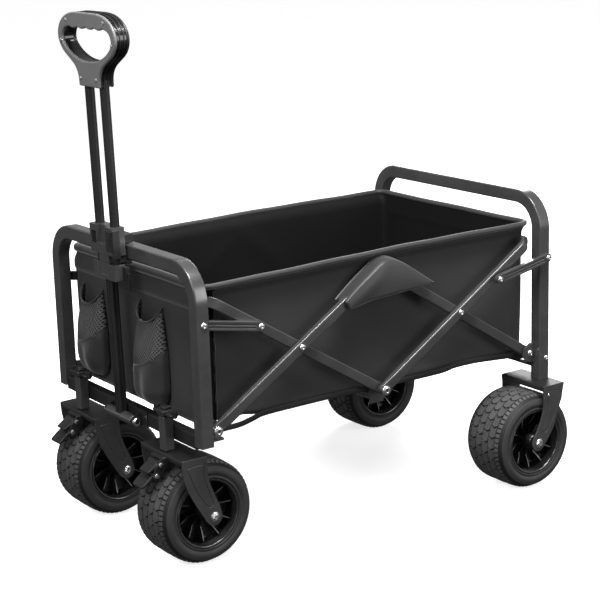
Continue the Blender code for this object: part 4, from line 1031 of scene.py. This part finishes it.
# ------------------------------------------------------------------ fabric tub
X0, X1 = -0.366, 0.3655
BOTTOM, RIM = 0.2545, 0.5105
random.seed(7)


def ring_points(x0, x1, half, r):
    """(x, y, nx, ny, kind) round the tub; kind names the panel."""
    out = []

    def line(a, b, count, kind, extra=()):
        ts = [i / count for i in range(count)]
        for e in extra:
            for d in (-0.0045, -0.0018, 0.0, 0.0018, 0.0045):
                t = (e + d - a[0]) / (b[0] - a[0])
                if 0 < t < 1:
                    ts.append(t)
        for t in sorted(set(round(t, 6) for t in ts)):
            x, y = a[0] + (b[0] - a[0]) * t, a[1] + (b[1] - a[1]) * t
            if kind == "left":
                out.append((x, y, 0, -1, kind))
            elif kind == "right":
                out.append((x, y, 0, 1, kind))
            elif kind == "front":
                out.append((x, y, -1, 0, kind))
            else:
                out.append((x, y, 1, 0, kind))

    def corner(cx, cy, start, kind):
        for i in range(7):
            a = math.radians(start + 90 * i / 7)
            out.append((cx + r * math.cos(a), cy + r * math.sin(a), math.cos(a), math.sin(a), kind))
    corner(x1 - r, half - r, 0, "rear_corner")
    line((x1 - r, half), (x0 + r, half), 64, "right", (-0.3390,))
    corner(x0 + r, half - r, 90, "front_corner")
    line((x0, half - r), (x0, -half + r), 44, "front")
    corner(x0 + r, -half + r, 180, "front_corner")
    line((x0 + r, -half), (x1 - r, -half), 64, "left", (-0.3390,))
    corner(x1 - r, -half + r, 270, "rear_corner")
    line((x1, -half + r), (x1, half - r), 44, "rear")
    return out


def gauss(v, w):
    return math.exp(-(v / w) ** 2)


def tub_offset(x, y, z, kind, h):
    """How far the cloth stands out of its flat panel, in metres; h runs 0 at the floor to 1."""
    slow = noise.noise(Vector((x * 5.0, y * 5.0, z * 6.0)))
    fine = noise.noise(Vector((x * 17.0 + 3, y * 17.0, z * 13.0)))
    d = 0.0014 * slow + 0.0006 * fine
    if kind in ("left", "right"):
        s = abs(y)
        d += -0.0016 - 0.0022 * math.sin(math.pi * h) * (0.6 + 0.4 * math.cos(x * 7.0))
        # the panel seam near the front corner and a drawn fold by each brace foot
        d -= 0.0014 * gauss(x + 0.3390, 0.0022)
        d += 0.0010 * gauss(x + 0.3450, 0.0030)
        # folds running from the apex down towards the middle and the rear foot
        for (ax, az), (bx, bz), depth, width in (((0.0, 0.480), (0.18, 0.33), 0.0022, 0.016),
                                                ((0.03, 0.300), (0.14, 0.275), 0.0030, 0.010),
                                                ((-0.02, 0.470), (-0.10, 0.40), 0.0018, 0.014)):
            dx, dz = bx - ax, bz - az
            ll = math.hypot(dx, dz)
            t = ((x - ax) * dx + (z - az) * dz) / ll ** 2
            off = ((x - ax) * dz - (z - az) * dx) / ll
            if -0.2 < t < 1.2:
                d -= depth * gauss(off, width) * smooth((t + 0.2) * 2.5) * smooth((1.2 - t) * 2.5)
    elif kind == "front":
        d += -0.0005 + 0.0016 * math.sin(math.pi * h)
        d += 0.0050 * smooth((z - 0.462) / 0.010) * (1 - 0.25 * smooth((z - 0.492) / 0.018))
        d -= 0.0012 * gauss(z - 0.460, 0.0025)
        d += 0.0012 * math.sin(y * 26.0) * math.exp(-((z - 0.36) / 0.10) ** 2)
    elif kind == "rear":
        d += 0.0020 * math.sin(math.pi * h) - 0.0012 * gauss(z - 0.468, 0.0025)
    return d


rows = [0.0, 0.004, 0.009, 0.016, 0.028, 0.05, 0.08, 0.12, 0.16, 0.21, 0.26, 0.31, 0.36, 0.41, 0.46, 0.51,
        0.56, 0.61, 0.66, 0.71, 0.75, 0.79, 0.805, 0.82, 0.84, 0.87, 0.90, 0.93, 0.96, 0.985, 1.0]


def rim_drop(x):
    """The rim hangs a little lower towards the front hoop."""
    return 0.0070 * smooth((0.12 - x) / 0.48)


def flange(x, y, h):
    """The front panel is a touch wider than the tub: its sewn edges stand out between the uprights."""
    k = smooth((-0.3590 - x) / 0.0030) * smooth(h / 0.04) * (1 - smooth((h - 0.90) / 0.08))
    return math.copysign(min(0.0125, abs(y)) * 0 + 0.0125, y) * k if abs(y) > 0.19 else 0.0


bm = bmesh.new()
rings = []
for h in rows:
    flare = smooth((h - 0.935) / 0.065)
    half = 0.2155 + 0.0030 * h + 0.0115 * flare
    x0 = X0
    x1 = X1 + 0.0030 * h
    base = 0.0045 * (1 - smooth(h / 0.035))          # the lower edge turns under
    loop = []
    ring = ring_points(x0 + base, x1 - base, half - base, 0.016)
    for x, y, nx, ny, kind in ring:
        z = BOTTOM + (RIM - BOTTOM) * h
        d = tub_offset(x, y, z, kind, h) * (1 - flare) * smooth(h / 0.05)
        z -= rim_drop(x) * smooth((h - 0.55) / 0.45)
        lift = 0.0
        if h < 0.12:                                  # the hem of the side panels rises to the front foot
            if kind in ("left", "right", "front_corner"):
                lift = 0.0075 * smooth((-0.235 - x) / 0.06) * (1 - h / 0.12)
        py = y + ny * d
        if x < -0.3590 and abs(y) > 0.19:
            py = math.copysign(abs(py) + flange(x, abs(y), h), y)
        loop.append(bm.verts.new((x + nx * d, py, z + lift)))
    rings.append((loop, [p[4] for p in ring], [p[0] for p in ring]))
for (a, kinds, xs), (b, _, _) in zip(rings, rings[1:]):
    n = len(a)
    for i in range(n):
        j = (i + 1) % n
        face = bm.faces.new((a[i], a[j], b[j], b[i]))
        # the front corners and the side strip ahead of the seam take the near-black corner cloth, which is painted
        # shade
        if kinds[i] == "front_corner" or (kinds[i] in ("left", "right") and xs[i] < -0.3390):
            face.material_index = 2
bottom = bm.faces.new([v for v in rings[0][0]][::-1])
tub = finish_mesh(bm, "tub_panels", CLOTH, "front_frame", "fabric_tub", angle=60,
                  mats=[CLOTH, LINING_PAINTED_SHADE, CORNER_STRIP_PAINTED_SHADE])
wall = tub.modifiers.new("cloth", "SOLIDIFY")
wall.thickness = 0.0030
wall.offset = -1.0
# the inner wall takes the lining, whose near-black colour is painted shade
wall.material_offset = 1
wall.material_offset_rim = 0
bpy.context.view_layer.update()
graph = bpy.context.evaluated_depsgraph_get()
mesh = bpy.data.meshes.new_from_object(tub.evaluated_get(graph))
tub.modifiers.clear()
tub.data = mesh
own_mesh(tub)

# rolled and bound hem round the rim, heavier across the front where it wraps a rod
bm = bmesh.new()
path, scales = [], []
for x, y, nx, ny, kind in ring_points(X0 - 0.0010, X1 + 0.0035, 0.2290, 0.022):
    z = RIM - rim_drop(x) + 0.0004 * math.sin(x * 40 + y * 30)
    path.append((x, y, z))
    scales.append(1.65 if kind == "front" else 1.0)
sweep(bm, path, circle(0.0048, 14), (0, 0, 1), cyclic=True, scales=scales)
hem = finish_mesh(bm, "rim_hem", BINDING, "front_frame", angle=80)
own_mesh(hem)

# piping sewn along the seam behind each front corner
for side, tag in SIDES:
    bm = bmesh.new()
    path = [(-0.3390, side * (0.2166 + 0.0030 * t), BOTTOM + 0.012 + 0.232 * t) for t in [i / 24 for i in range(25)]]
    sweep(bm, path, circle(0.0011, 8), (1, 0, 0))
    seam = finish_mesh(bm, f"corner_seam_{tag}", BINDING, "front_frame", angle=80)
    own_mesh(seam)

# floor boards under the lining, in the lining's painted-shade cloth
bm = bmesh.new()
edges = [X0 + 0.020, -0.176, -0.003, 0.170, X1 - 0.018]
for a, b in zip(edges, edges[1:]):
    box(bm, (a + 0.002, -0.198, 0.2582), (b - 0.002, 0.198, 0.2625))
floor_pad = finish_mesh(bm, "floor_boards", LINING_PAINTED_SHADE, "front_frame")
mod = floor_pad.modifiers.new("bevel", "BEVEL")
mod.width = 0.0015
mod.segments = 2
bpy.context.view_layer.update()
graph = bpy.context.evaluated_depsgraph_get()
floor_pad.data = bpy.data.meshes.new_from_object(floor_pad.evaluated_get(graph))
floor_pad.modifiers.clear()
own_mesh(floor_pad)

# webbing under the sides
for side, tag in SIDES:
    pts = [(-0.3420, 0.2470), (-0.3265, 0.2473), (-0.2940, 0.2480), (-0.2680, 0.2530), (-0.2430, 0.2580),
           (-0.1800, 0.2590), (-0.0920, 0.2590), (0.0200, 0.2570), (0.1500, 0.2560), (0.1880, 0.2600),
           (0.2380, 0.2600), (0.2900, 0.2560), (0.3390, 0.2520)]
    path = [(x, side * 0.2189, z) for x, z in spline(pts, 5)]
    bm = bmesh.new()
    sweep(bm, path, rrect(0.0100, 0.0026, 0.0010, 3), (0, 1, 0))
    strap = finish_mesh(bm, f"lower_webbing_strap_{tag}", WEBBING, "front_frame", f"lower_webbing_{tag}")
    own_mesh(strap)

# cup pockets: netting above, gathered cloth below, with an elastic edge that dips
for tag, yc, half0, top in (("left", -0.066, 0.0490, 0.448), ("right", 0.145, 0.0465, 0.441)):
    back = X0 - 0.0040
    bm = bmesh.new()
    nu, nv = 30, 34
    low = 0.264 if yc < 0 else 0.272
    grid = []
    for j in range(nv + 1):
        v = j / nv
        row = []
        for i in range(nu + 1):
            u = i / nu
            a = math.pi * u
            # elastic mouth dips in the middle
            ztop = top - 0.030 * math.sin(a) ** 0.9
            z = low + (ztop - low) * v
            # half width: round bottom, full belly, narrower mouth
            hb = half0 * math.sqrt(1 - (1 - min(1, v / 0.20)) ** 2 * 0.80) * (1 - 0.22 * smooth((v - 0.45) / 0.55))
            reach = 0.20 if yc < 0 else 0.34
            depth = 0.030 * math.sqrt(1 - (1 - min(1, v / reach)) ** 2 * 0.985) * (1 - 0.40 * smooth((v - 0.55) / 0.45))
            y = yc - hb * math.cos(a)
            x = back - depth * math.sin(a) ** 0.75
            if v < 0.55:                          # soft gathers below
                x -= 0.0032 * math.sin(a) * math.sin(u * 17.0 + 1.2) * smooth((0.55 - v) / 0.25) * smooth(v / 0.10)
            else:
                x += 0.0012 * math.sin(a) * math.sin(u * 21.0 + v * 9.0)
            row.append(bm.verts.new((x, y, z)))
        grid.append(row)
    split = int(nv * 0.52)
    for j in range(nv):
        for i in range(nu):
            face = bm.faces.new((grid[j][i], grid[j][i + 1], grid[j + 1][i + 1], grid[j + 1][i]))
            # the netting's lower edge slopes up towards the far side
            edge = split + int(3.5 * math.cos(math.pi * i / nu))
            face.material_index = 1 if j >= edge else 0
    pocket = finish_mesh(bm, f"pocket_pouch_{tag}", POUCH, "front_frame", f"cup_pocket_{tag}",
                         angle=80, mats=[POUCH, NET])
    wall = pocket.modifiers.new("cloth", "SOLIDIFY")
    wall.thickness = 0.0012
    wall.offset = -1.0
    bpy.context.view_layer.update()
    graph = bpy.context.evaluated_depsgraph_get()
    pocket.data = bpy.data.meshes.new_from_object(pocket.evaluated_get(graph))
    pocket.modifiers.clear()
    bm = bmesh.new()
    path = []
    for i in range(31):
        u = i / 30
        a = math.pi * u
        hb = half0 * 0.78
        path.append((back - 0.0192 * math.sin(a) ** 0.75 - 0.0004, yc - hb * math.cos(a),
                     top - 0.030 * math.sin(a) ** 0.9))
    sweep(bm, path, circle(0.0016, 8), (0, 0, 1))
    finish_mesh(bm, f"pocket_elastic_{tag}", BINDING, "front_frame", angle=80)
    bm = bmesh.new()                                # the binding where netting meets cloth
    path = []
    for i in range(31):
        u = i / 30
        a = math.pi * u
        edge = (split + 3.5 * math.cos(math.pi * u)) / nv
        hb = half0 * (1 - 0.22 * smooth((edge - 0.45) / 0.55)) * 0.985
        ztop = top - 0.030 * math.sin(a) ** 0.9
        path.append((back - 0.0302 * math.sin(a) ** 0.75 * (1 - 0.40 * smooth((edge - 0.55) / 0.45)) + 0.0002,
                     yc - hb * math.cos(a), low + (ztop - low) * edge))
    sweep(bm, path, circle(0.0011, 6), (0, 0, 1))
    finish_mesh(bm, f"pocket_seam_{tag}", BINDING, "front_frame", angle=80)

# cover flap over each apex hinge: a cloth hood folded over the bar, open below
for side, tag in SIDES:
    bm = bmesh.new()
    nu = 32
    levels = [0, 0.08, 0.17, 0.27, 0.38, 0.5, 0.62, 0.73, 0.82, 0.88, 0.92, 0.94, 0.955, 0.97, 0.985, 1.0]
    nv = len(levels) - 1
    top_edge = spline([(-0.0900, 0.4370), (-0.0600, 0.4600), (-0.0285, 0.4815), (0.0000, 0.4985), (0.0240, 0.4985),
                       (0.0520, 0.4850), (0.0860, 0.4610), (0.1150, 0.4400)], 5)
    low_edge = spline([(-0.0800, 0.4230), (-0.0700, 0.4240), (-0.0520, 0.4265), (-0.0290, 0.4300), (0.0150, 0.4325),
                       (0.0570, 0.4350), (0.0800, 0.4370), (0.1000, 0.4390)], 5)

    def pick(curve, t):
        f = t * (len(curve) - 1)
        i = min(int(f), len(curve) - 2)
        k = f - i
        return [curve[i][d] * (1 - k) + curve[i + 1][d] * k for d in range(2)]
    grid = []
    for j in range(nv + 1):
        v = levels[j]
        row = []
        for i in range(nu + 1):
            u = i / nu
            a, b = pick(low_edge, u), pick(top_edge, u)
            x, z = a[0] * (1 - v) + b[0] * v, a[1] * (1 - v) + b[1] * v
            # the cloth wraps the bar under it on the left and lies flatter to the right
            bar = (x - T[0]) * RISE / BRACE - (z - T[1]) * PX / BRACE
            wrap = 0.0035 * gauss(bar - 0.004, 0.016) * smooth((0.03 - x) / 0.06)
            roll = max(0.0, (v - 0.90) / 0.10)
            z += 0.0012 * math.sin(math.pi * min(1.0, roll))
            y = 0.2532 + wrap + 0.0022 * math.sin(math.pi * u) * math.sin(math.pi * min(1, v / 0.9)) - 0.0310 * roll ** 1.5
            row.append(bm.verts.new((x, side * y, z)))
        grid.append(row)
    for j in range(nv):
        for i in range(nu):
            bm.faces.new((grid[j][i], grid[j][i + 1], grid[j + 1][i + 1], grid[j + 1][i]))
    flap = finish_mesh(bm, f"apex_flap_{tag}", FLAP, f"front_outer_{tag}", angle=80)
    wall = flap.modifiers.new("cloth", "SOLIDIFY")
    wall.thickness = 0.0009
    wall.offset = 0.0

# ------------------------------------------------------------------ stage, light, camera
bm = bmesh.new()
for x, y in ((-60, -60), (60, -60), (60, 60), (-60, 60)):
    bm.verts.new((x, y, 0))
bm.faces.new(bm.verts)
mat, tree, bsdf = new_material("studio_floor")
tree.links.new(ramp(tree, noise_of(tree, coords(tree), 3.0), [(0.0, (0.93, 0.93, 0.93)), (1.0, (0.95, 0.95, 0.95))]),
               bsdf.inputs["Base Color"])
bsdf.inputs["Roughness"].default_value = 0.9
bsdf.inputs["Emission Color"].default_value = (1, 1, 1, 1)
bsdf.inputs["Emission Strength"].default_value = 0.74
floor = finish_mesh(bm, "studio_floor_plane", mat, None, shift=False, smooth=False)
floor.location.z = -0.0012

bpy.context.scene.view_settings.view_transform = "Standard"
world = bpy.data.worlds.new("studio")
bpy.context.scene.world = world
world.use_nodes = True
tree = world.node_tree
sky = tree.nodes["Background"]
direction = tree.nodes.new("ShaderNodeTexCoord")
parts = tree.nodes.new("ShaderNodeSeparateXYZ")
tree.links.new(direction.outputs["Generated"], parts.inputs[0])
height = math_node(tree, "ADD", math_node(tree, "MULTIPLY", parts.outputs[2], 0.5), 0.5)
tree.links.new(ramp(tree, height, [(0.30, (0.10,) * 3), (0.47, (0.16,) * 3), (0.492, (1.0,) * 3),
                                   (0.545, (1.0,) * 3), (0.60, (0.26,) * 3), (1.0, (0.22,) * 3)]),
               sky.inputs["Color"])
sky.inputs["Strength"].default_value = 1.0
floor.visible_diffuse = False
floor.visible_glossy = False


def area(name, at, target, size, power, size_y=None):
    light = bpy.data.lights.new(name, "AREA")
    light.shape = "RECTANGLE"
    light.size = size
    light.size_y = size_y or size
    light.energy = power
    obj = bpy.data.objects.new(name, light)
    obj.location = at
    obj.rotation_euler = (Vector(target) - Vector(at)).to_track_quat("-Z", "Y").to_euler()
    bpy.context.scene.collection.objects.link(obj)
    return obj


area("key", (-2.6, -1.2, 2.2), (0, 0, 0.35), 1.2, 55)
area("side", (1.6, -3.0, 1.4), (0, 0, 0.35), 1.0, 40, 1.8)
area("top", (-0.2, -0.75, 2.5), (0, -0.1, 0.35), 1.3, 110, 0.6)
area("rear", (2.4, 2.2, 1.8), (0, 0, 0.35), 1.4, 50)

AZ, EL, ROLL = (math.radians(v) for v in (-34.8529, 14.1147, -1.7151))
back = Vector((math.sin(AZ) * math.cos(EL), -math.cos(AZ) * math.cos(EL), math.sin(EL)))
rightv = Vector((math.cos(AZ), math.sin(AZ), 0))
upv = rightv.cross(-back)
R2 = math.cos(ROLL) * rightv + math.sin(ROLL) * upv
U2 = -math.sin(ROLL) * rightv + math.cos(ROLL) * upv
camera_data = bpy.data.cameras.new("camera")
camera_data.sensor_width = 36.0
camera_data.lens = 1681.6348 * 36 / 600
camera = bpy.data.objects.new("camera", camera_data)
camera.matrix_world = Matrix((
    (R2.x, U2.x, back.x, -1.784 + S), (R2.y, U2.y, back.y, -2.5496), (R2.z, U2.z, back.z, 1.1609),
    (0, 0, 0, 1)))
bpy.context.scene.collection.objects.link(camera)
bpy.context.scene.camera = camera

bpy.context.view_layer.update()
